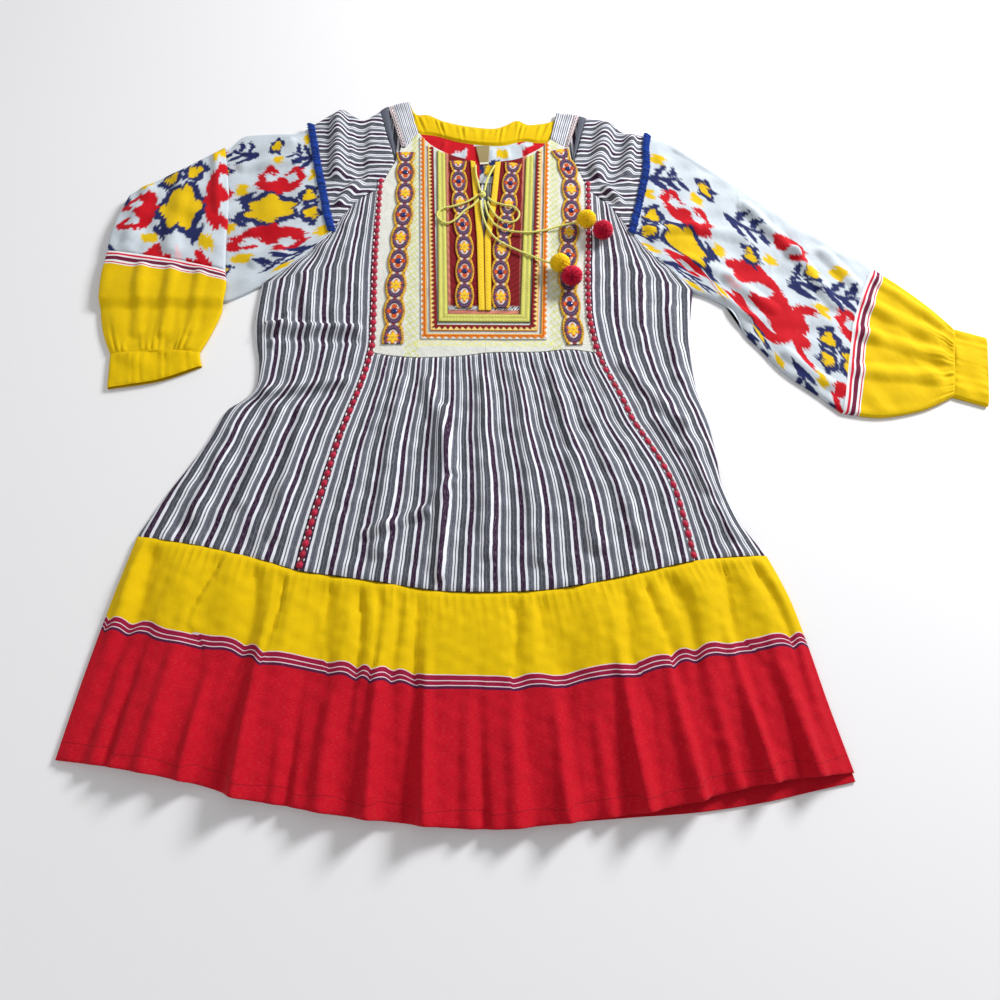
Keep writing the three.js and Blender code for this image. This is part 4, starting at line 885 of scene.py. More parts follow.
def oval_chain(along, across, half):
    """A chain of ovals in a scalloped gold edge, with star flowers and dark blue drops in turn."""
    turns = along / OVAL_PITCH + 0.5
    number = np.floor(turns)
    p = (turns - number - 0.5) * OVAL_PITCH
    q = across * OUTER_HALF / half
    oval = np.hypot(p / 16.2, q / 8.8)
    angle = np.arctan2(q, p)
    reach = np.hypot(p * 0.86, q)
    star = number % 2 == 0
    gap = np.abs(np.abs(p) - 16.5)
    points = np.where(star, np.abs(np.cos(3 * angle)), np.abs(np.cos(2 * angle)))
    petals = reach - np.where(star, 7.4, 7.8) * (0.5 + 0.5 * points)
    rays = np.cos(angle * 22) + 0.3
    cream = colour_of("cream")
    dye = painted(BROWN, [
        (np.where(oval > 1.02, -rays, 1), GOLD, 0.8),
        ((np.abs(oval - 1.19) - 0.03) * 9, FLOWER_YELLOW, 0.6),
        (gap + np.abs(q) * 0.9 - 4.6, cream),
        (gap * 0.8 + np.abs(q) - 2.6, FLOWER_ORANGE),
        ((np.abs(oval - 0.8) - 0.2) * 9, OVAL_PURPLE),
        ((np.abs(oval - 0.82) - 0.04) * 9 - 0.3 * np.sin(angle * 30), OVAL_LILAC),
        ((oval - 0.6) * 9, cream),
        (petals, FLOWER_ORANGE, 0.7),
        (np.where(star, petals + 1.7, 9), FLOWER_YELLOW, 0.7),
        (np.where(star, reach - 1.4, reach - 3.4), np.where(star[..., None], GOLD, BEAD_BLUE), 0.7),
    ])
    height = 0.5 * smooth(1 - np.abs(oval - 0.82) / 0.2) + 0.25 * smooth((oval - 1.02) / 0.1)
    return dye, height + np.where(star, 0.6 * smooth(-petals / 2), 0.7 * smooth(1 - reach / 3.6))


def wave(x, pitch):
    """A zigzag from 0 to 1 and back once a pitch."""
    share = (x / pitch) % 1
    return 1 - np.abs(2 * share - 1)


BRAID_WIDE = 7  # turns a share of a braid's width into millimetres
NEON_WIDE = 10


def ribbed(colour, along, pitch, depth):
    """A colour with painted shade between fine ribs across it, and the ribs' relief."""
    ribs = 0.5 + 0.5 * np.cos(2 * math.pi * along / pitch)
    # Painted shade: the colour is darker in the hollows between the ribs.
    return colour * (1 - depth + depth * ribs[..., None]), 0.25 * ribs


def orange_zigzag(along, share):
    """Orange teeth over cream, with a straight inner edge."""
    teeth = share - 0.42 * wave(along, 7.2)
    ground, ribs = ribbed(ORANGE, along, 1.3, 0.22)
    dye = painted(ground, [
        ((np.abs(share - 0.6) - 0.08) * BRAID_WIDE, ORANGE_SHADE),
        ((np.abs(share - 0.88) - 0.04) * BRAID_WIDE, PALE_YELLOW),
        ((0.95 - share) * BRAID_WIDE, INK),
        (teeth * BRAID_WIDE, colour_of("cream")),
    ])
    return dye, (0.35 + ribs) * smooth(teeth * 4)


def maroon_zigzag(along, share):
    """Maroon teeth over pale yellow."""
    teeth = 0.14 + 0.52 * wave(along, 6.0) - share
    ground, ribs = ribbed(PALE_YELLOW, along, 1.4, 0.16)
    dye = painted(ground, [
        (teeth * BRAID_WIDE, MAROON),
        ((0.94 - share) * BRAID_WIDE, INK),
        ((share - 0.1) * BRAID_WIDE, ORANGE),
    ])
    return dye, ribs + 0.25 * smooth(-teeth * 4)


def neon_chevrons(along, share):
    """A cabled braid: two columns of slanted ribs each side of a pale line."""
    column = np.abs(share - 0.5) * 2
    ribs = 0.5 + 0.5 * np.cos(2 * math.pi * (along + 3.6 * wave(column, 1.0)) / 3.3)
    rope = smooth(1.15 - np.abs(column - 0.52) / 0.46)
    lit = smooth(0.1 + 0.95 * ribs * rope)[..., None]
    dye = painted(NEON_SHADE + (colour_of("neon") - NEON_SHADE) * lit, [
        ((column - 0.06) * NEON_WIDE, colour_of("cream")),
        ((0.955 - column) * NEON_WIDE, INK),
    ])
    return dye, 0.9 * rope * (0.45 + 0.55 * ribs)


def cross_stitches(along, share):
    """A row of crosses between two darker edges."""
    cell, side = (along / 4.2) % 1 - 0.5, share - 0.5
    arm = np.minimum(np.abs(cell - side), np.abs(cell + side))
    dye = painted(PLACKET_YELLOW, [
        ((arm - 0.07) * 5, screen(250, 222, 90)),
        ((0.46 - np.abs(side)) * 7 - 0.25, screen(196, 142, 20)),
    ])
    return dye, 0.3 * smooth(1 - arm * 6)


STITCHED_WAVES = [
    (-74.5, -0.03), (-79.0, -0.02), (-83.5, -0.01), (63.2, 0.055), (67.6, 0.05), (72.0, 0.045),
]
CHECK = 3.2


def stitched_cream(plan):
    """The bib's own cloth: cream with stitched waves, and maroon inside the frames."""
    x, y = plan[..., 0], plan[..., 1]
    layers = []
    for middle, lean in STITCHED_WAVES:
        side = x - middle - lean * y - 1.7 * np.sin(2 * math.pi * y / 9 + middle)
        layers.append((np.abs(side) - 0.8 - 0.35 * np.sin(y * 2.4), STITCH_GREEN, 1.4))
    upper = np.abs(y - 8.4 - 1.4 * np.sin(2 * math.pi * x / 8))
    lower = np.abs(y - 4.6 + 0.8 * np.sin(x / 1.3))
    rows = np.maximum(np.minimum(upper, lower) - 0.7, np.abs(x + 6) - 70)
    layers.append((rows, colour_of("neon")))
    frame = FRAMES["neon_frame"]
    left = between(frame.left, frame.top_left_x, y / 280) + 8
    right = between(frame.right, frame.top_right_x, y / 276) - 8
    inside = np.maximum(np.maximum(left - x, x - right), 42 - y)
    ground = paint(SALMON, inside + 5.2, MAROON) * (0.85 + 0.15 * np.cos(y * 4.0))[..., None]
    checks = np.where((x / CHECK % 1 < 0.5) != (y / CHECK % 1 < 0.5), 1.0, -1.0)
    row = np.abs(y - 50.5) - 2.6
    ground = painted(ground, [(np.maximum(row, checks), WHITE), (np.maximum(row, -checks), INK)])
    layers.append((inside, ground))
    speckle = 0.94 + 0.06 * ripple(plan, 3.1, 5)
    return painted(colour_of("cream") * speckle[..., None], layers)


# Materials
class Value:
    """A shader socket that takes part in sums with others and with plain numbers."""

    def __init__(self, shader, socket):
        self.shader = shader
        self.socket = socket

    def math(self, operation, *values):
        return self.shader.node("ShaderNodeMath", {"operation": operation}, *values)

    def __add__(self, other):
        return self.math("ADD", self, other)

    def __sub__(self, other):
        return self.math("SUBTRACT", self, other)

    def __rsub__(self, other):
        return self.math("SUBTRACT", other, self)

    def __mul__(self, other):
        return self.math("MULTIPLY", self, other)

    def __truediv__(self, other):
        return self.math("DIVIDE", self, other)

    def __rtruediv__(self, other):
        return self.math("DIVIDE", other, self)

    def __mod__(self, other):
        return self.math("FLOORED_MODULO", self, other)

    def __rmod__(self, other):
        return self.math("FLOORED_MODULO", other, self)

    __radd__ = __add__
    __rmul__ = __mul__

    def sine(self, pitch):
        return self.math("SINE", self * (2 * math.pi / pitch))


class Shader:
    """A material with one Principled shader, built up from nodes."""

    def __init__(self, name, **constants):
        self.material = bpy.data.materials.new(name)
        self.material.use_nodes = True
        self.tree = self.material.node_tree
        self.tree.nodes.clear()
        self.surface = self.tree.nodes.new("ShaderNodeBsdfPrincipled")
        shown = self.tree.nodes.new("ShaderNodeOutputMaterial")
        self.tree.links.new(self.surface.outputs["BSDF"], shown.inputs["Surface"])
        for socket, value in constants.items():
            self.surface.inputs[socket.replace("_", " ")].default_value = value

    def node(self, kind, settings=None, *values, output=0, sockets=None):
        """A node of this type, with its settings, its sockets' values or links, and one output."""
        made = self.tree.nodes.new(kind)
        for key, value in (settings or {}).items():
            if key == "stops":
                self.fill_ramp(made.color_ramp, value)
            else:
                setattr(made, key, value)
        for key, value in {**dict(enumerate(values)), **(sockets or {})}.items():
            self.plug(made.inputs[key], value)
        return Value(self, made.outputs[output])

    def plug(self, socket, value):
        if isinstance(value, Value):
            self.tree.links.new(value.socket, socket)
        else:
            socket.default_value = value

    @staticmethod
    def fill_ramp(ramp, stops):
        for _ in range(len(stops) - len(ramp.elements)):
            ramp.elements.new(1.0)
        for element, (place, colour) in zip(ramp.elements, stops):
            element.position = place
            element.color = (*colour, 1.0)
        ramp.interpolation = "CONSTANT"

    def lengths(self):
        """Lengths of cloth across and along, in millimetres, from the UVs."""
        split = self.node("ShaderNodeSeparateXYZ", {}, self.node("ShaderNodeUVMap", {"uv_map": "cloth"}))
        return split, Value(self, split.socket.node.outputs[1])

    def dye(self):
        """The colour that the mesh's corners carry."""
        return self.node("ShaderNodeAttribute", {"attribute_name": "dye"})

    def place(self):
        return self.node("ShaderNodeTexCoord", {}, output="Object")

    def noise(self, vector, scale, detail=2.0):
        sockets = {"Vector": vector, "Scale": scale, "Detail": detail}
        return self.node("ShaderNodeTexNoise", {}, sockets=sockets)

    def fibre(self, across, along):
        """Noise drawn out along one of the cloth's two ways."""
        return self.noise(self.node("ShaderNodeCombineXYZ", {}, across, along, 0.0), 1.0)

    def mixed(self, share, low, high):
        low, high = (value if isinstance(value, Value) else (*value, 1.0) for value in (low, high))
        sockets = {0: share, 6: low, 7: high}
        return self.node("ShaderNodeMix", {"data_type": "RGBA"}, output=2, sockets=sockets)

    def shaded(self, colour, share):
        return self.node("ShaderNodeVectorMath", {"operation": "SCALE"}, sockets={0: colour, 3: share})

    def ramp(self, share, stops):
        return self.node("ShaderNodeValToRGB", {"stops": stops}, share)

    def finish(self, colour, height, distance):
        """Sets the colour and the bump: height runs from 0 to 1 or so over distance millimetres."""
        self.plug(self.surface.inputs["Base Color"], colour)
        sockets = {"Height": height, "Distance": distance * MM, "Strength": 1.0}
        self.plug(self.surface.inputs["Normal"], self.node("ShaderNodeBump", {}, sockets=sockets))
        return self.material


THREAD_PITCH = 0.9
STREAK = (1.9, 0.09)
CRUMPLE_SCALE, CRUMPLE_DETAIL = 0.11, 5.0
CRUMPLE_SHADE = 0.16
THREAD_RELIEF = 0.8
CRUMPLE_RELIEF = 8.0
COTTON = {"Roughness": 0.85, "Sheen_Weight": 0.03, "Specular_IOR_Level": 0.12}


def woven(shader, colour, across, along, uneven=0.14, depth=0.05):
    """Cloth of this colour, uneven along its threads both ways, with its weave as a bump."""
    warp = shader.fibre(across * STREAK[0], along * STREAK[1])
    weft = shader.fibre(across * STREAK[1], along * STREAK[0])
    place = shader.node("ShaderNodeCombineXYZ", {}, across, along, 0.0)
    crumple = shader.noise(place, CRUMPLE_SCALE, CRUMPLE_DETAIL)
    weave = across.sine(THREAD_PITCH) * along.sine(THREAD_PITCH) * 0.5 + 0.5
    shade = (warp + weft - 1.0) * uneven + (crumple - 0.5) * CRUMPLE_SHADE + 1.0
    relief = weave * 0.5 + warp * THREAD_RELIEF + weft * THREAD_RELIEF + crumple * CRUMPLE_RELIEF
    return shader.finish(shader.shaded(colour, shade), relief, depth)


def plain(value):
    return tuple(float(part) for part in value)


PURPLE, WHITE_LINE, GREY, DARK_GREY = "stripe_purple", "stripe_white", "stripe_grey", "stripe_dark"
STRIPE_RUN = [
    (4.3, PURPLE), (2.2, WHITE_LINE), (1.7, GREY), (0.6, DARK_GREY), (2.6, GREY), (1.6, WHITE_LINE),
    (0.9, DARK_GREY), (1.7, WHITE_LINE), (2.0, DARK_GREY), (0.7, GREY), (2.8, DARK_GREY), (2.4, WHITE_LINE),
]
RUN_WIDTH = 23.5


def banded(runs, length):
    """Ramp stops for bands of these widths, one after another, over a length."""
    stops, start = [], 0.0
    for width, name in runs:
        stops.append((start / length, colour_of(name)))
        start += width
    return stops


def striped_cotton(name, repeat=None, runs=tuple(STRIPE_RUN), width=RUN_WIDTH):
    """Cloth striped along, whose stripes wander a little."""
    shader = Shader(name, **COTTON)
    across, along = shader.lengths()
    wander = shader.fibre(across * 0.02, along * 0.05) - 0.5
    share = ((across + wander * 1.6) / (repeat or sizes().stripe_repeat)) % 1.0
    colour = shader.ramp(share, banded(runs, width))
    fleck = shader.fibre(across * 2.6, along * 0.22)
    lifted = shader.mixed((fleck - 0.5) * 0.8, colour, plain(colour_of("stripe_white")))
    return woven(shader, lifted, across, along, 0.22)


RED_CLOTH, YELLOW_CLOTH = "red", "yellow"  # the user's own colours, by name
LINE_PALE = screen(228, 208, 214)
LINE_MAGENTA = screen(150, 18, 60)
LINE_GLOW = screen(250, 210, 130)
TIER_RUN = [
    (0.0, RED_CLOTH), (11.4, screen(160, 8, 32)), (12.0, RED_CLOTH), (94.6, screen(84, 20, 62)),
    (96.6, LINE_PALE), (97.2, LINE_MAGENTA), (100.4, LINE_PALE), (101.0, LINE_MAGENTA), (104.2, LINE_PALE),
    (104.8, YELLOW_CLOTH),
]
TIER_LENGTH = 180.0
CUFF_RUN = [
    (0.0, WHITE), (2.0, screen(216, 36, 66)), (4.6, WHITE), (6.2, screen(112, 24, 60)), (10.4, WHITE),
    (12.8, screen(208, 24, 48)), (13.9, WHITE), (14.7, YELLOW_CLOTH),
]
CUFF_LENGTH = 150.0


def bordered_cotton(name, places, length):
    """Cloth with woven lines across it, at places along it."""
    shader = Shader(name, **COTTON)
    across, along = shader.lengths()
    wander = (shader.fibre(across * 0.03, along * 0.01) - 0.5) * 1.2
    stops = [(place / length, colour_of(hue) if isinstance(hue, str) else hue) for place, hue in places]
    colour = shader.ramp((along + wander) / length, stops)
    fleck = shader.fibre(across * 0.3, along * 2.4)
    return woven(shader, shader.mixed((fleck - 0.5) * 0.16, colour, LINE_GLOW), across, along)


def plain_cotton(name, hue):
    shader = Shader(name, **COTTON)
    return woven(shader, plain(hue), *shader.lengths())


IKAT_WEAVE = (0.2, 0.05)  # how uneven the ikat's cloth is, and how deep its weave


def dyed_cotton(name, uneven=0.14, depth=0.1):
    """Cloth in the dye that its corners carry."""
    shader = Shader(name, **COTTON)
    across, along = shader.lengths()
    return woven(shader, shader.dye(), across, along, uneven, depth)


def dyed_fibre(name, roughness=0.7, depth=0.15):
    """Yarn in the dye that its corners carry."""
    shader = Shader(name, Roughness=roughness, Sheen_Weight=0.15, Specular_IOR_Level=0.35)
    mottle = shader.noise(shader.place(), 0.9 / MM)
    return shader.finish(shader.shaded(shader.dye(), mottle * 0.4 + 0.8), mottle, depth)


def glass_beads():
    shader = Shader("bead_glass", Roughness=0.12, Coat_Weight=0.5)
    mottle = shader.noise(shader.place(), 0.4 / MM)
    colour = shader.mixed(mottle, screen(14, 24, 80), screen(44, 60, 130))
    shader.plug(shader.surface.inputs["Base Color"], colour)
    return shader.material


def floor_paper():
    shader = Shader("backdrop", Roughness=0.6, Specular_IOR_Level=0.2)
    grain = shader.noise(shader.place(), 40.0)
    colour = shader.shaded(plain(screen(244, 244, 246)), grain * 0.01 + 0.995)
    shader.plug(shader.surface.inputs["Base Color"], colour)
    return shader.material


# Grids of the pieces
PLAIN_CELL = 2.8
DYED_CELL = 1.8
TIER_CELL = 2.4
FACING_CELL = 1.8
FLAT_CELL = 9.0
LABEL_CELL = 1.4


def side_line(side):
    """A patch's side from one table, from a tuple of them, or from points used as they are."""
    if isinstance(side, np.ndarray):
        return side
    return line(*side) if isinstance(side, tuple) else line(side)


def grid_of(start, end, near, far, cell):
    """A patch of cloth in cells of about this size, with each place's shares across and along."""
    start, end, near, far = (side_line(side) for side in (start, end, near, far))
    wide = max(run_of(start)[-1], run_of(end)[-1])
    long = max(run_of(near)[-1], run_of(far)[-1])
    across, along = shares(wide, cell), shares(long, cell)
    return patch(start, end, near, far, across, along), *np.meshgrid(across, along)


def pressed_edges(plan, height, sides=True, depth=0.7, reach=3.0):
    """Lowers the cloth a little along its seams."""
    down, over = run_of(plan[:, plan.shape[1] // 2]), run_of(plan[len(plan) // 2])
    press = np.ones(height.shape) * smooth(np.minimum(down, down[-1] - down) / reach)[:, None]
    if sides:
        press = press * smooth(np.minimum(over, over[-1] - over) / reach)[None]
    return height - depth * (1 - press)


FOLD_SHIFT = 0.9  # stripes move this far over a fold, as a share of its height
PANEL_GRIP = 0.6


def panel(name, ends, table, material, slot="striped_cotton", grip=1.0, cell=PLAIN_CELL, seed=1,
          stripes=None, extra=None):
    """A front panel over the back, from its four lines, with its folds and its lengths of cloth."""
    plan, across, along = grid_of(*ends, cell)
    height = pressed_edges(plan, front_top(plan, table, seed))
    if extra is not None:
        height = height + extra(across, along)
    lengths = cloth_lengths(plan, grip)
    uv = lengths.copy()
    if stripes is not None:
        uv[..., 0] = stripes(plan, across)
    else:
        uv[..., 0] += FOLD_SHIFT * fold_rise(plan, table)
    cloth = Cloth().add(raised(plan, height), uv, lengths=lengths)
    cloth.make(name, material, slot, rests_on=["back_body"])


def outline_sheet(name, outline, top, material):
    """A flat piece of cloth filled in from its outline."""
    flat = bmesh.new()
    corners = [flat.verts.new((*(place - MIDDLE) * MM, top * MM)) for place in outline]
    edges = [flat.edges.new(pair) for pair in zip(corners, corners[1:] + corners[:1])]
    bmesh.ops.triangle_fill(flat, use_beauty=True, edges=edges)
    layer = flat.loops.layers.uv.new("cloth")
    for face in flat.faces:
        if face.normal.z < 0:
            face.normal_flip()
        for corner in face.loops:
            corner[layer].uv = corner.vert.co.xy / MM
    area = sum(face.calc_area() for face in flat.faces)
    mesh = bpy.data.meshes.new(name)
    flat.to_mesh(mesh)
    flat.free()
    made = linked(name, mesh, material)
    thicken(made, CLOTH)
    declare_sheet(np.ptp(outline, axis=0) * MM, area)
    seated(made, [name])


def seam_between(start, end):
    """The tier seam's points between two corners."""
    return [start, *(place for place in TIER_SEAM if start[0] + 5 < place[0] < end[0] - 5), end]


# Body
def make_back():
    """The back, flat on the floor, and its tier."""
    outline = np.vstack([
        line(SHOULDER_TOP_LEFT, ARM_LEFT, UNDERARM_LEFT, SIDE_LEFT, TIER_SEAM),
        line(SHOULDER_TOP_RIGHT, ARM_RIGHT, UNDERARM_RIGHT, SIDE_RIGHT)[::-1],
        line(BACK_NECK)[::-1],
    ])
    keep = np.linalg.norm(np.diff(outline, axis=0, append=outline[:1]), axis=1) > 0.05
    outline_sheet("back_body", outline[keep], BACK_TOP, striped_cotton("back_stripes"))
    border = bordered_cotton("tier_border_back", TIER_RUN, TIER_LENGTH)
    right = TIER_RIGHT[:-1] + HEM_BACK[-1:]
    plan, _, _ = grid_of(TIER_SEAM, HEM_BACK, TIER_LEFT, right, FLAT_CELL)
    uv = cloth_lengths(plan, 1.0)
    uv[..., 1] = uv[..., 1].max() - uv[..., 1]
    Cloth().add(raised(plan, BACK_TOP), uv).make("back_tier", border, "border_cotton")


# Where each tuck of the yoke starts, how it leans and how far it rises
YOKE_TUCKS = [(-52, 0.2, 1.8), (-24, 0.05, 1.2), (26, -0.1, 1.6), (52, -0.3, 2.0), (8, 0.1, 1.0)]


def make_neck():
    """What shows inside the neck: the back's yellow facing, its ikat yoke and a bare label."""
    ends = [[BACK_NECK[k], FACING_LOWER[k]] for k in (0, -1)]
    plan, across, along = grid_of(BACK_NECK, FACING_LOWER, *ends, FACING_CELL)
    waves = gathers(across, along, FACING_GATHERS) + FACING_GATHERS.rise
    waves = waves * smooth(along / 0.2) * smooth((1 - along) / 0.12) * smooth((along + 0.5) / 1.2)
    height = LINED_TOP + 2.2 * waves * np.sin(math.pi * np.clip(across, 0.02, 0.98)) ** 0.3
    cotton = plain_cotton("facing_cotton", colour_of("yellow"))
    facing = Cloth().add(raised(plan, height), cloth_lengths(plan))
    facing.make("neck_facing", cotton, "yellow_cotton", rests_on=["back_body"])
    seam = line(FACING_LOWER)
    low = np.array([(seam[0, 0], YOKE_LOWER), (seam[-1, 0], YOKE_LOWER)])
    ends = [np.array([seam[k], low[k]]) for k in (0, -1)]
    plan, _, _ = grid_of(seam, low, *ends, DYED_CELL)
    x, y = plan[..., 0], plan[..., 1]
    waves = 0.6 + 0.6 * ripple(plan, 34, 21)
    tucks = sum(
        rise * np.exp(-(((x - foot - lean * (y - 280)) / 3.2) ** 2)) * smooth((y - 244) / 30)
        for foot, lean, rise in YOKE_TUCKS
    )
    edge = smooth((y - 262) / 14) * smooth((distance(plan, seam) - 1) / 8)
    height = LINED_TOP + np.minimum(waves + tucks, 2.2) * edge
    yoke = Cloth().add(raised(plan, height), plan, ikat(x * 0.9 + 48, (y - 100) * 0.95))
    yoke.make("back_yoke", dyed_cotton("yoke_dye", *IKAT_WEAVE), "ikat_cotton", rests_on=["back_body"])
    make_label()


def make_label():
    """A plain woven strip with no letters."""
    satin = Shader("label_weave", Roughness=0.42, Sheen_Weight=0.2)
    across, along = satin.lengths()
    bands = [(0.0, screen(150, 132, 84)), (0.7, screen(226, 220, 200))]
    woven(satin, satin.ramp((along / 40.0) % 1.0, bands), across, along, 0.1, 0.03)
    top_left, top_right, low_right, low_left = LABEL_CORNERS
    pairs = (top_left, top_right), (low_left, low_right), (top_left, low_left), (top_right, low_right)
    plan, _, _ = grid_of(*(np.array(pair, float) for pair in pairs), LABEL_CELL)
    rise = 0.5 * np.sin(math.pi * np.linspace(0, 1, len(plan)))[:, None] ** 2
    label = Cloth().add(raised(plan, LINED_TOP + SEAM + 1.0 + rise), cloth_lengths(plan))
    label.make("label", satin.material, "label_satin", wall=0.9, rests_on=["back_yoke"])


BIB_CELL = 1.4
BIB_CORNER = -4  # height on the plan where the bib ends on the princess seams


def make_bib():
    """The bib as two halves that meet under the slit's placket, with its stitched ground as dye."""
    bib = Cloth()
    bottom = line(BIB_BOTTOM)
    middle = at(bottom, [0.5])[0]
    halves = {
        "left": (line(FRONT_NECK_LEFT), PRINCESS_LEFT, bottom[bottom[:, 0] <= middle[0]][::-1]),
        "right": (line(FRONT_NECK_RIGHT)[::-1], PRINCESS_RIGHT, bottom[bottom[:, 0] >= middle[0]]),
    }
    for side, (neck, princess, half) in halves.items():
        top = np.vstack([neck[::-1], line(BIB_SHOULDER[side][::-1])])
        low = np.vstack([[middle], half])
        slit = np.array([neck[-1], SLIT_POINT, middle], float)
        outer = BIB_SIDE[side], [place for place in princess if place[1] >= BIB_CORNER][1:]
        plan, _, _ = grid_of(top, low, slit, outer, BIB_CELL)
        height = FRONT_LEVEL + 0.12 * ripple(plan, 30, 8) + 0.05 * ripple(plan, 5, 9)
        bib.add(raised(plan, height), plan, stitched_cream(plan))
    ground = dyed_cotton("bib_ground", 0.14, 0.12)
    bib.make("bib", ground, "embroidered_cotton", rests_on=["back_body", "back_yoke"])


STRIP_CELL = 1.5


def make_neck_strips():
    """Strips from the shoulder down to the bib at each side of the neck."""
    pale = ((1.0, GREY), (1.3, WHITE_LINE), (1.4, GREY), (1.5, WHITE_LINE))
    strips = {
        "yoke_strip": (striped_cotton("yoke_stripes", 5.2, pale, 5.2), "striped_cotton"),
        "shoulder_braid": (speckled_braid(), "speckled_braid"),
        "shoulder_binding": (plain_cotton("binding_cotton", screen(92, 96, 108)), "dark_binding"),
    }
    for side, (top, low) in NECK_STRIPS.items():
        top, low = np.array(top, float), np.array(low, float)
        feet = low.copy()
        feet[2] = low[3] + [-TIP_WIDTH * math.copysign(1, low[3][0]), TIP_SLANT]
        for k, (name, (cloth, slot)) in enumerate(strips.items()):
            a, b, c, d = top[k], top[k + 1], feet[k], low[k + 1]
            sides = [np.array(pair) for pair in ((a, b), (c, d), (a, c), (b, d))]
            panel(f"{name}_{side}", sides, [], cloth, slot, cell=STRIP_CELL)


def speckled_braid():
    shader = Shader("braid_weave", Roughness=0.7, Sheen_Weight=0.15)
    across, along = shader.lengths()
    check = across.sine(4.6) * along.sine(5.2)
    bright = shader.ramp(check * 0.5 + 0.5, [(0.0, INK), (0.38, WHITE), (0.72, screen(160, 26, 50))])
    return woven(shader, bright, across, along, 0.2, 0.25)


def shoulder_stripes(plan, across):
    return plan[..., 1] - FOLD_SHIFT * fold_rise(plan, SHOULDER_FOLDS) + 0.9 * ripple(plan, 40, 31) + 400


SKIRT_CELL = 2.3
SKIRT_WIDTH = 340.0


def centre_stripes(plan, across):
    bend = 0.45 * fold_rise(plan, BODY_FOLDS) + 1.6 * ripple(plan * [0.6, 0.3], 90, 5)
    return across * SKIRT_WIDTH + bend


BIB_PUFF = 1.8
TIER_SEAM_PUFF = 1.8


def bib_gathers(across, along):
    """The skirt's gathers below the bib's edge."""
    large = puckers(across, along, BIB_LARGE) * smooth(along / 0.1)
    return smooth(along / 0.02) * (BIB_PUFF + puckers(across, along, BIB_SMALL) + large)


def side_waves(across, along):
    """Small waves where a side panel meets the tier."""
    low = smooth((along - 0.82) / 0.14)
    return gathers(across, 1 - along, SIDE_GATHERS) * low * smooth((1 - along) / 0.01)


def make_front():
    """The striped pieces over the back: shoulders, side panels and the skirt below the bib."""
    stripes = striped_cotton("front_stripes")
    seam_left = seam_between(SIDE_LEFT[-1], PRINCESS_LEFT[-1])[::-1]
    seam_right = seam_between(PRINCESS_RIGHT[-1], SIDE_RIGHT[-1])
    for name, ends in {
        "shoulder_left": (SHOULDER_TOP_LEFT, MITRE_LEFT, BINDING_OUTER_LEFT, ARM_LEFT),
        "shoulder_right": (SHOULDER_TOP_RIGHT, MITRE_RIGHT, BINDING_OUTER_RIGHT, ARM_RIGHT),
    }.items():
        panel(name, ends, SHOULDER_FOLDS, stripes, stripes=shoulder_stripes, seed=2)
    for name, ends, seed in (
        ("side_front_left", (MITRE_LEFT, seam_left, PRINCESS_LEFT, (UNDERARM_LEFT, SIDE_LEFT)), 4),
        ("side_front_right", (MITRE_RIGHT, seam_right, PRINCESS_RIGHT, (UNDERARM_RIGHT, SIDE_RIGHT)), 6),
    ):
        panel(name, ends, BODY_FOLDS, stripes, grip=PANEL_GRIP, seed=seed, extra=side_waves)
    seam = seam_between(PRINCESS_LEFT[-1], PRINCESS_RIGHT[-1])
    left, right = (
        [place for place in table if place[1] <= BIB_CORNER] for table in (PRINCESS_LEFT, PRINCESS_RIGHT)
    )
    panel("centre_skirt", (BIB_BOTTOM, seam, left, right), BODY_FOLDS, stripes, grip=PANEL_GRIP,
          cell=SKIRT_CELL, seed=9, stripes=centre_stripes, extra=bib_gathers)


# Where along the hem, from where down the tier and to which side the strong pleats fall
TIER_PLEATS = [
    (0.075, 0.1, 1), (0.16, 0.3, -1), (0.228, 0.0, 1), (0.3, 0.35, 1), (0.392, 0.0, -1), (0.457, 0.0, 1),
    (0.54, 0.3, 1), (0.63, 0.2, -1), (0.726, 0.0, 1), (0.795, 0.1, -1), (0.888, 0.0, -1), (0.945, 0.3, 1),
]
TIER_CLOTH = 640  # length of the tier's cloth across, before its gathers
TIER_PLEAT_WIDE, TIER_PLEAT_RISE = 0.03, 6.5


def make_tier():
    """The front tier: gathered at its seam, with small puckers, soft pleats and waves."""
    plan, across, along = grid_of(TIER_SEAM, HEM, TIER_LEFT, TIER_RIGHT, TIER_CELL)
    inside = smooth(across / 0.02) * smooth((1 - across) / 0.02)
    small = puckers(across, along, TIER_SMALL)
    large = puckers(across, along, TIER_LARGE) * smooth(along / 0.1)
    folded = pleats(TIER_PLEATS, across, along, TIER_PLEAT_WIDE, TIER_PLEAT_RISE) * inside
    waves = 1.6 * ripple(plan * [1.0, 0.3], 52, 15) + 0.3 * ripple(plan, 15, 16)
    waves = waves + 0.5 * creases(plan, 40, 17)
    height = tier_top(plan, across, along)
    height += (TIER_SEAM_PUFF + small + large) * inside * smooth(along / 0.03) + folded
    height += waves * inside * smooth(along / 0.12)
    height = np.maximum(pressed_edges(plan, height, sides=False, reach=2.2), LINED_TOP)
    long = run_of(line(TIER_LEFT))[-1]
    uv_along = (1 - along) * long + 0.55 * folded - 1.1 * large * smooth(along / 0.3)
    border = bordered_cotton("tier_border", TIER_RUN, TIER_LENGTH)
    tier = Cloth().add(raised(plan, height), np.dstack([across * TIER_CLOTH, uv_along]))
    tier.make("front_tier", border, "border_cotton", rests_on=["back_tier"])


# Sleeves
SleeveLook = namedtuple("SleeveLook", "material slot shift puckers", defaults=[None, ()])
CUFF_ROLL = 3.0
FOLD_TURN = 9.0  # how far along a folded sleeve its cloth turns over
SIDE_FADE = 0.06
END_FADE = 0.04
UNDER_STEP = 3  # the under face has one column for this many of the upper face
LEAST_UNDER = 6


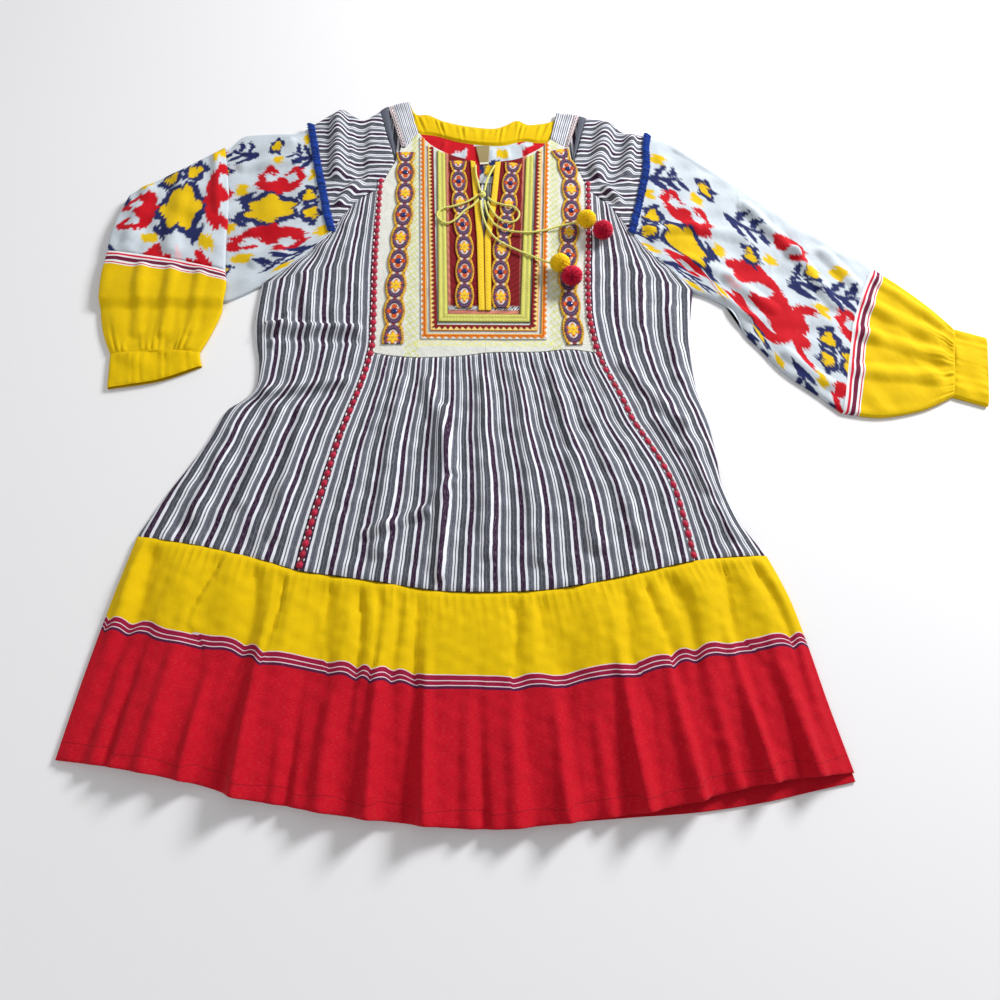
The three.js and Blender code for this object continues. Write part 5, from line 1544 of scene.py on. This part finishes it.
def make_sleeve(name, ends, levels, table, look, seed, rolled_ends=14.0, over=None):
    """A flattened tube: an upper face rolled down at both sides to an under face of the same cloth.

    A tube that is folded over another piece starts from the fold's foot.
    """
    dyed = look.shift is not None
    plan, across, along = grid_of(*ends, DYED_CELL if dyed else TIER_CELL)
    base, top, low = levels(plan)
    height = tube_top(plan, base, top, table, rolled_ends, seed)
    inside = smooth(across / SIDE_FADE) * smooth((1 - across) / SIDE_FADE)
    for reach, rise, closing in look.puckers:
        from_end = 1 - along if closing else along
        gather = Gather(rise, CUFF_GATHERS * 1.7, reach, seed)
        height = height + gathers(across, from_end, gather) * smooth(from_end / END_FADE) * inside
    low = np.broadcast_to(low, height.shape).copy()
    if over:
        low[0] = SEAM
        turn = rolled(run_of(plan[:, plan.shape[1] // 2]) / FOLD_TURN)[:, None]
        height = SEAM + (height - SEAM) * turn
    height = np.maximum(pressed_edges(plan, height, sides=False, depth=0.5, reach=2.4), low + SEAM)
    feet = [raised(plan[:, edge], low[:, edge]) for edge in (slice(0, 1), slice(-1, None))]
    upper = np.concatenate([feet[0], raised(plan, height), feet[1]], axis=1)
    uv = cloth_lengths(plan, 0.0)
    wide = uv[..., 0].max()
    uv_upper = np.concatenate([uv[:, :1], uv, uv[:, -1:]], axis=1)
    columns = plan.shape[1]
    count = max(LEAST_UNDER, columns // UNDER_STEP)
    pick = np.unique(np.linspace(0, columns - 1, count).astype(int))
    uv_under = uv[:, pick] * [-1, 1] + [2 * wide, 0]
    dyes = [
        ikat(sheet[..., 0] - wide / 2 + look.shift, sheet[..., 1]) if dyed else None
        for sheet in (uv_upper, uv[:, pick])
    ]
    cloth = Cloth().add(upper, uv_upper, dyes[0])
    cloth.add(raised(plan[:, pick], low[:, pick]), uv_under, dyes[1], down=True)
    cloth.make(name, look.material, look.slot, wall=0, rests_on=[over] if over else [])


def make_sleeves():
    """The left sleeve, folded down over itself, and the right one, laid out."""
    print_cloth = dyed_cotton("ikat_dye", *IKAT_WEAVE)
    border = bordered_cotton("cuff_border", CUFF_RUN, CUFF_LENGTH)
    yellow = plain_cotton("cuff_cotton", colour_of("yellow"))
    dyed = SleeveLook(print_cloth, "ikat_cotton", 14.0)
    other = SleeveLook(print_cloth, "ikat_cotton", -10.0)
    lined = SleeveLook(border, "border_cotton", puckers=((0.5, 1.5, True),))
    cuff = SleeveLook(yellow, "yellow_cotton", puckers=((0.9, 1.0, True), (0.9, 1.0, False)))

    def upper_levels(plan):
        hidden = smooth((HIDDEN_FROM - plan[..., 0]) / HIDDEN_FADE)
        return 0.0, FRONT_LEVEL - HIDDEN_DROP * hidden, 0.0

    def lower_levels(plan):
        return OVERLAP_LEVEL, OVERLAP_LEVEL + WRIST_LEVEL, overlap_floor(plan)

    def border_levels(plan):
        low = overlap_floor(plan)
        return low, low + WRIST_LEVEL, low

    def body_levels(plan):
        return 0.0, FRONT_LEVEL, 0.0

    def cuff_levels(plan):
        return 0.0, WRIST_LEVEL, 0.0

    inset = [(x + FOLD_INSET[0], y + FOLD_INSET[1]) for x, y in LEFT_FOLD]
    tops = LEFT_UPPER_TOP[:-1] + inset[:1], LEFT_UPPER_LOW[:-1] + inset[-1:]
    make_sleeve("sleeve_left_upper", ((ARM_LEFT, UNDERARM_LEFT), inset, *tops),
                upper_levels, SLEEVE_LEFT_FOLDS, dyed, 23)
    make_sleeve("sleeve_left_lower", (LEFT_FOLD, LEFT_LINES, LEFT_LOWER_RIGHT, LEFT_LOWER_LEFT),
                lower_levels, SLEEVE_LOWER_FOLDS, dyed, 25, over="sleeve_left_upper")
    make_sleeve("sleeve_left_border", (LEFT_LINES, LEFT_WRIST, LEFT_BORDER_RIGHT, LEFT_BORDER_LEFT),
                border_levels, BORDER_LEFT_FOLDS, lined, 47)
    make_sleeve("cuff_left", (LEFT_WRIST, LEFT_CUFF_END, LEFT_CUFF_RIGHT, LEFT_CUFF_LEFT),
                cuff_levels, [], cuff, 29, CUFF_ROLL)
    make_sleeve("sleeve_right", ((ARM_RIGHT, UNDERARM_RIGHT), RIGHT_LINES, RIGHT_TOP, RIGHT_LOW),
                body_levels, SLEEVE_RIGHT_FOLDS, other, 31)
    make_sleeve("sleeve_right_border", (RIGHT_LINES, RIGHT_WRIST, RIGHT_BORDER_TOP, RIGHT_BORDER_LOW),
                body_levels, BORDER_RIGHT_FOLDS, lined, 33)
    make_sleeve("cuff_right", (RIGHT_WRIST, RIGHT_CUFF_END, RIGHT_CUFF_TOP, RIGHT_CUFF_LOW),
                cuff_levels, [], cuff, 35, CUFF_ROLL)


# Small shapes
OUTWARD = [0, 3, 2, 1]  # the order of a quad's corners that turns it to face outward


class Pile(Parts):
    """Small shapes gathered into one mesh, each with its own dye."""

    def copies(self, shape, places, headings, scales, dyes):
        """Copies of a shape, each turned on the plan to its heading and stretched to its scale."""
        points, faces = shape
        cos, sin = np.cos(headings)[:, None], np.sin(headings)[:, None]
        scales = np.broadcast_to(scales, (len(places), 3))
        x, y, z = (points * scales[:, None]).transpose(2, 0, 1)
        spread = np.stack([x * cos - y * sin, x * sin + y * cos, z], -1) + places[:, None]
        many = faces + (np.arange(len(places)) * len(points))[:, None, None]
        tints = np.broadcast_to(np.broadcast_to(dyes, (len(places), 3))[:, None], spread.shape)
        return self.put(spread.reshape(-1, 3), many.reshape(-1, faces.shape[1]), tints.reshape(-1, 3))

    def make(self, name, material, slot, nodes=None):
        return seated(mesh_object(name, self, material), [name] if nodes is None else nodes)


def dome(rings, sectors, knobs=0, depth=0.0):
    """Half a ball of radius 1 over the plan, with knobs round it."""
    tilt = np.linspace(0, math.pi / 2, rings + 1)[:, None]
    round_it = np.linspace(0, 2 * math.pi, sectors + 1)[None]
    reach = np.sin(tilt) * (1 + depth * np.cos(knobs * round_it))
    points = np.stack([reach * np.cos(round_it), reach * np.sin(round_it), np.cos(tilt) + 0 * round_it], -1)
    return points.reshape(-1, 3), grid_faces(rings + 1, sectors + 1)[:, OUTWARD]


def headings_of(path):
    step = np.gradient(path, axis=0)
    return np.arctan2(step[:, 1], step[:, 0])


def sideways(headings):
    """Unit steps to the left of these headings."""
    return np.stack([-np.sin(headings), np.cos(headings)], -1)


def at_level(places, level):
    return np.column_stack([places, np.full(len(places), level)])


LACE_PATHS = {
    "left": [(-121, 234)] + PRINCESS_LEFT,
    "right": [(119.5, 234)] + PRINCESS_RIGHT,
}
CRIMSON_DEEP = screen(120, 4, 40)
TUFT_PITCH = 2.6
TUFT_LEAN = math.radians(68)
PICOT_WHITE = screen(238, 224, 226)
PICOT_OUT = 2.4
BEAD_SCALES = ((3.3, 3.8), (2.9, 3.3), (1.7, 1.95))
CROWN_SCALE = [0.52, 0.5, 0.62]
PICOT_SCALE = [1.9, 0.9, 1.1]
LINK_SCALE = [2.2, 1.2, 1.0]
TUFT_SCALES = ((4.3, 5.0), (0.75, 1.0), (2.0, 3.2))


def random_scales(draw, ranges, count):
    return np.column_stack([draw.uniform(low, high, count) for low, high in ranges])


def make_bead_lace():
    """Red crochet ovals in a row, with white picots between them."""
    yarn = dyed_fibre("lace_yarn", depth=0.2)
    base = TRIM_BASE + TRIM_CLOTH * 0.5
    for side, table in LACE_PATHS.items():
        path = line(table)
        count = round((run_of(path)[-1] - 1) / BEAD_PITCH)
        places = at(path, (np.arange(count) + 0.5) / count)
        headings = headings_of(places)
        spots = at_level(places, base)
        draw = np.random.default_rng(51)
        scales = random_scales(draw, BEAD_SCALES, count)
        dye = colour_of("lace") * draw.uniform(0.85, 1.1, count)[:, None]
        pile = Pile()
        pile.copies(dome(5, 22, 11, 0.07), spots, headings, scales, dye)
        # Painted highlight: each oval's crown is 1.2 times as bright as the oval under it.
        pile.copies(dome(3, 14, 7, 0.1), spots + [0, 0, 1.0], headings, scales * CROWN_SCALE, dye * 1.2)
        joints = at(path, np.arange(1, count) / count)
        turns = headings_of(joints)
        for out in (-1, 1):
            picots = at_level(joints + sideways(turns) * out * PICOT_OUT, base)
            pile.copies(dome(3, 8), picots, turns, PICOT_SCALE, PICOT_WHITE)
        pile.copies(dome(2, 8), at_level(joints, base), turns, LINK_SCALE, CRIMSON_DEEP)
        pile.make(f"bead_trim_{side}", yarn, "bead_lace")


def make_blue_trim():
    """Slanted tufts of yarn close together along each armhole."""
    yarn = dyed_fibre("tuft_yarn", 0.8, 0.3)
    for side, table in (("left", ARM_LEFT), ("right", ARM_RIGHT)):
        path = line(table)
        draw = np.random.default_rng(61)
        count = round(run_of(path)[-1] / (TUFT_PITCH / 2))
        places = at(path, (np.arange(count) + 0.5) / count)
        headings = headings_of(places)
        spots = at_level(places + draw.normal(0, 0.25, (count, 2)), TRIM_BASE + 0.3)
        lean = TUFT_LEAN + draw.normal(0, 0.09, count)
        scales = random_scales(draw, TUFT_SCALES, count)
        dye = colour_of("tufts") * draw.uniform(0.45, 1.5, count)[:, None]
        pile = Pile().copies(dome(4, 8, 4, 0.1), spots, headings + lean, scales, dye)
        pile.make(f"sleeve_trim_{side}", yarn, "blue_tufted_trim")


# Ribbons and braids on the bib
RIBBON_CELL = 0.9
RIBBON_ROWS = 21
RIBBON_LEVEL = TRIM_BASE + TRIM_CLOTH
RIBBON_WALL = TRIM_CLOTH * 0.9


def oval_ribbon(path, widest):
    """A ribbon's grid along its path, scalloped with its ovals: places, lengths and dye."""
    long = run_of(path)[-1]
    count = round(long / RIBBON_CELL)
    middle = at(path, np.linspace(0, 1, count + 1))
    along = np.linspace(0, long, count + 1)[:, None]
    half = widest * (0.72 + 0.28 * np.abs(np.cos(math.pi * along / OVAL_PITCH)))
    side = np.linspace(-1, 1, RIBBON_ROWS)[None]
    offsets = side * half
    plan = middle[:, None] + sideways(headings_of(middle))[:, None] * offsets[..., None]
    along = np.broadcast_to(along, offsets.shape)
    dye, relief = oval_chain(along, offsets, widest)
    edge = smooth((half - np.abs(offsets)) / 0.7)
    return raised(plan, RIBBON_LEVEL + relief * edge), np.dstack([offsets, along]), dye


def make_oval_ribbons():
    satin = dyed_cotton("oval_dye")
    glass = glass_beads()
    for group, chains, widest in (("outer", OUTER_CHAIN, OUTER_HALF), ("inner", INNER_CHAIN, INNER_SHOWN)):
        for side, table in chains.items():
            path = line(table)
            ribbon = Cloth().add(*oval_ribbon(path, widest))
            ribbon.make(f"{group}_ribbon_{side}", satin, "oval_ribbon", RIBBON_WALL, ["bib"])
            long = run_of(path)[-1]
            centres = at(path, np.arange(OVAL_PITCH, long - 6, 2 * OVAL_PITCH) / long)
            size = widest / OUTER_HALF
            places, scale = at_level(centres, RIBBON_LEVEL + 0.2), [3.3 * size, 3.1 * size, 1.5]
            beads = Pile().copies(dome(6, 20), places, np.zeros(len(centres)), scale, BEAD_BLUE)
            beads.make(f"glass_{group}_{side}", glass, "oval_ribbon", [])


BRAID_STEPS = 12


def leg(outer, inner, look):
    """One mitred leg of a frame, between its outer and its inner edge: places, lengths and dye."""
    start, end = outer
    long, width = np.linalg.norm(end - start), np.linalg.norm(inner[0] - start)
    share_along = np.linspace(0, 1, round(long / RIBBON_CELL) + 1)[:, None]
    share = np.linspace(0, 1, BRAID_STEPS)
    edges = between(start, end, share_along)[:, None], between(*inner, share_along)[:, None]
    plan = between(*edges, share[None, :, None])
    run = (plan - start) @ ((end - start) / long)
    share = np.broadcast_to(share, run.shape)
    dye, relief = look(run, share)
    edge = smooth(np.minimum(share, 1 - share) / 0.12)
    return raised(plan, RIBBON_LEVEL + relief * edge), np.dstack([share * width, run]), dye


def frame_corners(frame, inset):
    """A frame's two ends and two corners, this far inside its outer edge."""
    drop = inset * FRAME_SLANT
    return np.array([
        (frame.top_left_x + inset, frame.top_left_y - drop),
        (frame.left + inset, frame.bottom + inset),
        (frame.right - inset, frame.bottom + inset),
        (frame.top_right_x - inset, frame.top_right_y - drop),
    ], float)


def make_frames():
    """Three braids round the bib's middle, each in mitred legs."""
    braid = dyed_cotton("braid_dye", 0.16, 0.12)
    looks = {
        "orange_frame": (orange_zigzag, "orange_ricrac"),
        "maroon_frame": (maroon_zigzag, "maroon_ricrac"),
        "neon_frame": (neon_chevrons, "neon_braid"),
    }
    for name, frame in FRAMES.items():
        look, slot = looks[name]
        outer, inner = frame_corners(frame, 0), frame_corners(frame, frame.width)
        cloth = Cloth()
        start = 0.0
        for k in range(3):
            grid, uv, dye = leg(outer[k:k + 2], inner[k:k + 2], look)
            cloth.add(grid, uv + [0, start], dye)
            start += np.linalg.norm(outer[k + 1] - outer[k])
        cloth.make(name, braid, slot, RIBBON_WALL, ["bib"])


def make_plackets():
    """Yellow bands of cross stitches that bind the slit."""
    binding = dyed_cotton("placket_dye")
    for name, tables in PLACKETS.items():
        inner, outer = (np.array(table, float) for table in tables)
        steps = np.linspace(0, 1, round(run_of(inner)[-1] / RIBBON_CELL) + 1)
        near, far = at(inner, steps), at(outer, steps)
        share = np.linspace(0, 1, BRAID_STEPS)
        plan = between(near[:, None], far[:, None], share[None, :, None])
        run = np.broadcast_to(run_of(near)[:, None], plan.shape[:-1])
        share = np.broadcast_to(share, run.shape)
        dye, relief = cross_stitches(run, share)
        height = RIBBON_LEVEL + relief + 0.35 * np.sin(math.pi * share)
        width = np.linalg.norm(far - near, axis=1).mean()
        placket = Cloth().add(raised(plan, height), np.dstack([share * width, run]), dye)
        placket.make(name, binding, "yellow_cotton", RIBBON_WALL, ["bib"])


# Neck cord and pompoms
CORD_SIDES = 14
CORD_STEP = 0.55
KNOT_REACH = 4.1


def unit(vectors):
    return vectors / np.linalg.norm(vectors, axis=1)[:, None]


def cord_route(table):
    """A cord's centreline in millimetres, close enough for its twist."""
    path = line([(*place[:2], place[2] if len(place) > 2 else CORD_LEVEL) for place in table])
    return at(path, np.linspace(0, 1, round(run_of(path)[-1] / CORD_STEP) + 1))


def add_cord(name, table, yarn):
    """A two-ply cord along its route."""
    path = cord_route(table)
    run = run_of(path)
    forward = unit(np.gradient(path, axis=0))
    side = unit(np.cross(forward, [0.0, 0.0, 1.0]))
    up = np.cross(side, forward)
    angle = np.linspace(0, 2 * math.pi, CORD_SIDES, endpoint=False)[None]
    ply = np.abs(np.cos(angle - math.pi * run[:, None] / sizes().cord_turn * 2))
    reach = CORD_WIDTH / 2 * (0.7 + 0.34 * ply)
    outward = np.cos(angle)[..., None] * side[:, None] + np.sin(angle)[..., None] * up[:, None]
    rings = path[:, None] + reach[..., None] * outward
    index = np.arange(len(path) * CORD_SIDES).reshape(-1, CORD_SIDES)
    after = np.roll(index, -1, axis=1)
    faces = np.stack([index[:-1], after[:-1], after[1:], index[1:]], -1).reshape(-1, 4)
    # Painted shade: the cord is darker in the grooves between its two plies.
    dye = colour_of("neon") * (0.55 + 0.45 * smooth(ply * 1.2)[..., None])
    pile = Pile().put(rings.reshape(-1, 3), faces, dye.reshape(-1, 3))
    pile.faces.append([index[0][::-1], index[-1]])
    made = pile.make(name, yarn, "neon_cord")


def make_knot(yarn):
    """The bow's knot: a rounded heart with three turns of cord over it."""
    tilt = np.linspace(0.04, math.pi - 0.04, 22)[:, None]
    round_it = np.linspace(0, 2 * math.pi, 41)[None]
    groove = np.abs(np.sin(round_it * 1.5 + tilt * 2.2))
    reach = KNOT_REACH * (0.82 + 0.2 * groove)
    wide = reach * np.sin(tilt)
    parts = [wide * np.cos(round_it), 1.15 * wide * np.sin(round_it), 0.75 * reach * np.cos(tilt)]
    points = np.stack(parts, -1) + np.array(KNOT)
    # Painted shade: the knot is darker in the grooves between its turns of cord.
    dye = colour_of("neon") * (0.6 + 0.4 * smooth(groove))[..., None]
    faces = grid_faces(*points.shape[:2])[:, OUTWARD]
    Pile().put(points.reshape(-1, 3), faces, dye.reshape(-1, 3)).make("tie_knot", yarn, "neon_cord")


FLUFF_GAIN = 1.3  # cut ends shade each other, so their dye is brighter than the ball looks
ROOT_SHADE = 0.82
STRAND_FOOT = 0.5  # where a strand starts and ends, as shares of the ball's radius
STRAND_BEND = 0.6
STRAND_TIP = (0.28, 0.4)
STRAND_WIDTHS = (0.55, 0.42)
STRAY = 0.2
STRAND_TURNS = (0, 2 * math.pi / 3, 4 * math.pi / 3)
STRAND_FACES = np.array([(0, 1, 4, 3), (1, 2, 5, 4), (2, 0, 3, 5), (3, 4, 5, 5)])
# Painted shade: each strand's root corners are 0.9 as bright as its tip, for the shade inside the ball.
STRAND_SHADES = np.array([0.9, 0.9, 0.9, 1, 1, 1])[None, :, None]


def make_pompoms():
    """Balls of cut yarn: many short tapered strands, darker at the root."""
    strands = sizes().strands
    for number, (name, (x, y, width, rests)) in enumerate(POMPOMS.items()):
        bright = colour_of(name.rsplit("_", 1)[0]) * FLUFF_GAIN
        deep = bright * ROOT_SHADE
        yarn = dyed_fibre(f"{name}_yarn", 0.85, 0.1)
        draw = np.random.default_rng(70 + number)
        radius = width / 2 * sizes().fluff
        outward = unit(draw.normal(size=(strands, 3)))
        stray = unit(outward + draw.normal(0, STRAY, (strands, 3)))
        tips = outward * radius * STRAND_BEND + stray * radius * draw.uniform(*STRAND_TIP, strands)[:, None]
        side = unit(np.cross(outward, draw.normal(size=(strands, 3))))
        other = np.cross(outward, side)
        corners = [
            foot + reach * (math.cos(turn) * side + math.sin(turn) * other)
            for reach, foot in zip(STRAND_WIDTHS, (outward * radius * STRAND_FOOT, tips))
            for turn in STRAND_TURNS
        ]
        middle = [x, y, rests + SEAM + width / 2 * POMPOM_SQUASH + 1.0]
        points = np.stack(corners, 1) * [1, 1, POMPOM_SQUASH] + middle
        faces = (STRAND_FACES + (np.arange(strands) * 6)[:, None, None]).reshape(-1, 4)
        shade = draw.uniform(0, 1, strands)[:, None, None]
        dye = np.broadcast_to((deep + (bright - deep) * shade) * STRAND_SHADES, points.shape)
        pile = Pile().put(points.reshape(-1, 3), faces, dye.reshape(-1, 3))
        pile.make(name, yarn, f"{name.split('_')[1]}_pompom")


# Camera, lights and backdrop
CAMERA_PLACE = (-27.0, -376.8, 584.85)
CAMERA_HEADING = (0.1004, 0.99495)
CAMERA_PITCH = math.radians(62.195)
CAMERA_ROLL = math.radians(5.05)
CAMERA_LENS = 24.62
CAMERA_SHIFT = (0.00456, -0.0869)


def place_camera():
    """The camera as it was solved from the photo, with its roll and shift."""
    heading = Vector((*CAMERA_HEADING, 0)).normalized()
    level = Vector((heading.y, -heading.x, 0))
    forward = heading * math.cos(CAMERA_PITCH) - Vector((0, 0, math.sin(CAMERA_PITCH)))
    down = -level.cross(forward)
    right = math.cos(CAMERA_ROLL) * level - math.sin(CAMERA_ROLL) * down
    up = -(math.sin(CAMERA_ROLL) * level + math.cos(CAMERA_ROLL) * down)
    turn = Matrix((right, up, -forward)).transposed().to_4x4()
    place = Vector(CAMERA_PLACE) - Vector((*MIDDLE, 0))
    camera = bpy.data.objects.new("camera", bpy.data.cameras.new("camera"))
    camera.matrix_world = Matrix.Translation(place * MM) @ turn
    camera.data.lens = CAMERA_LENS
    camera.data.sensor_width = 36.0
    camera.data.shift_x, camera.data.shift_y = CAMERA_SHIFT
    camera.data.clip_start = 0.01
    camera.data.dof.use_dof = False
    bpy.context.scene.collection.objects.link(camera)
    bpy.context.scene.camera = camera


def area_light(name, place, size, power):
    """A square light of this size that points at the dress."""
    lamp = bpy.data.lights.new(name, "AREA")
    lamp.size = size
    lamp.energy = power
    made = bpy.data.objects.new(name, lamp)
    made.location = place
    made.rotation_euler = (-Vector(place)).to_track_quat("-Z", "Y").to_euler()
    bpy.context.scene.collection.objects.link(made)


FLOOR_LEVEL = -0.0004
FLOOR_REACH = 4.0


def make_stage():
    flat = bpy.data.meshes.new("backdrop")
    turns = (-1, -1), (1, -1), (1, 1), (-1, 1)
    corners = [(x * FLOOR_REACH, y * FLOOR_REACH, FLOOR_LEVEL) for x, y in turns]
    flat.from_pydata(corners, [], [(0, 1, 2, 3)])
    flat.materials.append(floor_paper())
    backdrop = bpy.data.objects.new("backdrop", flat)
    scene = bpy.context.scene
    scene.collection.objects.link(backdrop)
    area_light("key", (1.35, 1.2, 1.05), 0.6, scene.dress_stage.key_power)
    area_light("fill", (-1.5, -0.7, 1.8), 1.8, scene.dress_stage.key_power * 0.15)
    world = bpy.data.worlds.new("studio")
    world.use_nodes = True
    inputs = world.node_tree.nodes["Background"].inputs
    inputs["Color"].default_value = (1.0, 1.0, 1.0, 1.0)
    inputs["Strength"].default_value = scene.dress_stage.ambient
    scene.world = world
    scene.view_settings.view_transform = "Standard"
    scene.view_settings.look = "None"


def make_cords():
    """The knot first, and then each length of cord."""
    yarn = dyed_fibre("cord_yarn", 0.6, 0.1)
    make_knot(yarn)
    for name, table in TIE.items():
        add_cord(name, table, yarn)


# Operators, panel and the run
class DRESS_OT_camera(bpy.types.Operator):
    """Sets the camera over the laid dress"""

    bl_idname = "dress.camera"
    bl_label = "Camera"

    def execute(self, context):
        place_camera()
        return {"FINISHED"}


class DRESS_OT_cords(bpy.types.Operator):
    """Twists the neck cord and ties its bow"""

    bl_idname = "dress.cords"
    bl_label = "Neck cord"

    def execute(self, context):
        make_cords()
        return {"FINISHED"}


class DRESS_OT_back(bpy.types.Operator):
    """Cuts the back and its tier"""

    bl_idname = "dress.back"
    bl_label = "Back"

    def execute(self, context):
        make_back()
        return {"FINISHED"}


class DRESS_OT_neck(bpy.types.Operator):
    """Sews the facing, the yoke and the label inside the neck"""

    bl_idname = "dress.neck"
    bl_label = "Inside the neck"

    def execute(self, context):
        make_neck()
        return {"FINISHED"}


class DRESS_OT_bib(bpy.types.Operator):
    """Cuts the bib and the strips at its neck"""

    bl_idname = "dress.bib"
    bl_label = "Bib"

    def execute(self, context):
        make_bib()
        make_neck_strips()
        return {"FINISHED"}


class DRESS_OT_front(bpy.types.Operator):
    """Cuts the shoulders, side panels and centre skirt"""

    bl_idname = "dress.front"
    bl_label = "Striped front"

    def execute(self, context):
        make_front()
        return {"FINISHED"}


class DRESS_OT_tier(bpy.types.Operator):
    """Gathers the front tier"""

    bl_idname = "dress.tier"
    bl_label = "Tier"

    def execute(self, context):
        make_tier()
        return {"FINISHED"}


class DRESS_OT_sleeves(bpy.types.Operator):
    """Lays out both sleeves and their cuffs"""

    bl_idname = "dress.sleeves"
    bl_label = "Sleeves"

    def execute(self, context):
        make_sleeves()
        return {"FINISHED"}


class DRESS_OT_trims(bpy.types.Operator):
    """Works the bead lace and the tufted armhole trim"""

    bl_idname = "dress.trims"
    bl_label = "Seam trims"

    def execute(self, context):
        make_bead_lace()
        make_blue_trim()
        return {"FINISHED"}


class DRESS_OT_ribbons(bpy.types.Operator):
    """Sews the oval ribbons, frames and plackets on the bib"""

    bl_idname = "dress.ribbons"
    bl_label = "Ribbons"

    def execute(self, context):
        make_oval_ribbons()
        make_frames()
        make_plackets()
        return {"FINISHED"}


class DRESS_OT_pompoms(bpy.types.Operator):
    """Ties the four pompoms"""

    bl_idname = "dress.pompoms"
    bl_label = "Pompoms"

    def execute(self, context):
        make_pompoms()
        return {"FINISHED"}


class DRESS_OT_stage(bpy.types.Operator):
    """Sets the backdrop, the lights and the world"""

    bl_idname = "dress.stage"
    bl_label = "Stage"

    def execute(self, context):
        make_stage()
        return {"FINISHED"}


OPERATORS = [
    DRESS_OT_camera, DRESS_OT_cords, DRESS_OT_back, DRESS_OT_neck, DRESS_OT_bib, DRESS_OT_front,
    DRESS_OT_tier, DRESS_OT_sleeves, DRESS_OT_trims, DRESS_OT_ribbons, DRESS_OT_pompoms, DRESS_OT_stage,
]


class DRESS_PT_maker(bpy.types.Panel):
    """Lists the dress's colours, sizes and pieces"""

    bl_idname = "DRESS_PT_maker"
    bl_label = "Dress"
    bl_space_type = "VIEW_3D"
    bl_region_type = "UI"
    bl_category = "Dress"

    def draw(self, context):
        scene = context.scene
        for group in (scene.dress_colours, scene.dress_sizes, scene.dress_stage):
            for name in group.__annotations__:
                self.layout.prop(group, name)
        for made in OPERATORS:
            self.layout.operator(made.bl_idname)


GROUPS = {"dress_colours": DressColours, "dress_sizes": DressSizes, "dress_stage": DressStage}


def register():
    for made in (*GROUPS.values(), *OPERATORS, DRESS_PT_maker):
        bpy.utils.register_class(made)
    for name, group in GROUPS.items():
        setattr(bpy.types.Scene, name, bpy.props.PointerProperty(type=group))


def unregister():
    for name in GROUPS:
        delattr(bpy.types.Scene, name)
    for made in (DRESS_PT_maker, *reversed(OPERATORS), *GROUPS.values()):
        bpy.utils.unregister_class(made)


def main():
    register()
    for made in OPERATORS:
        getattr(bpy.ops.dress, made.bl_idname.split(".")[1])()


if __name__ == "__main__":
    main()
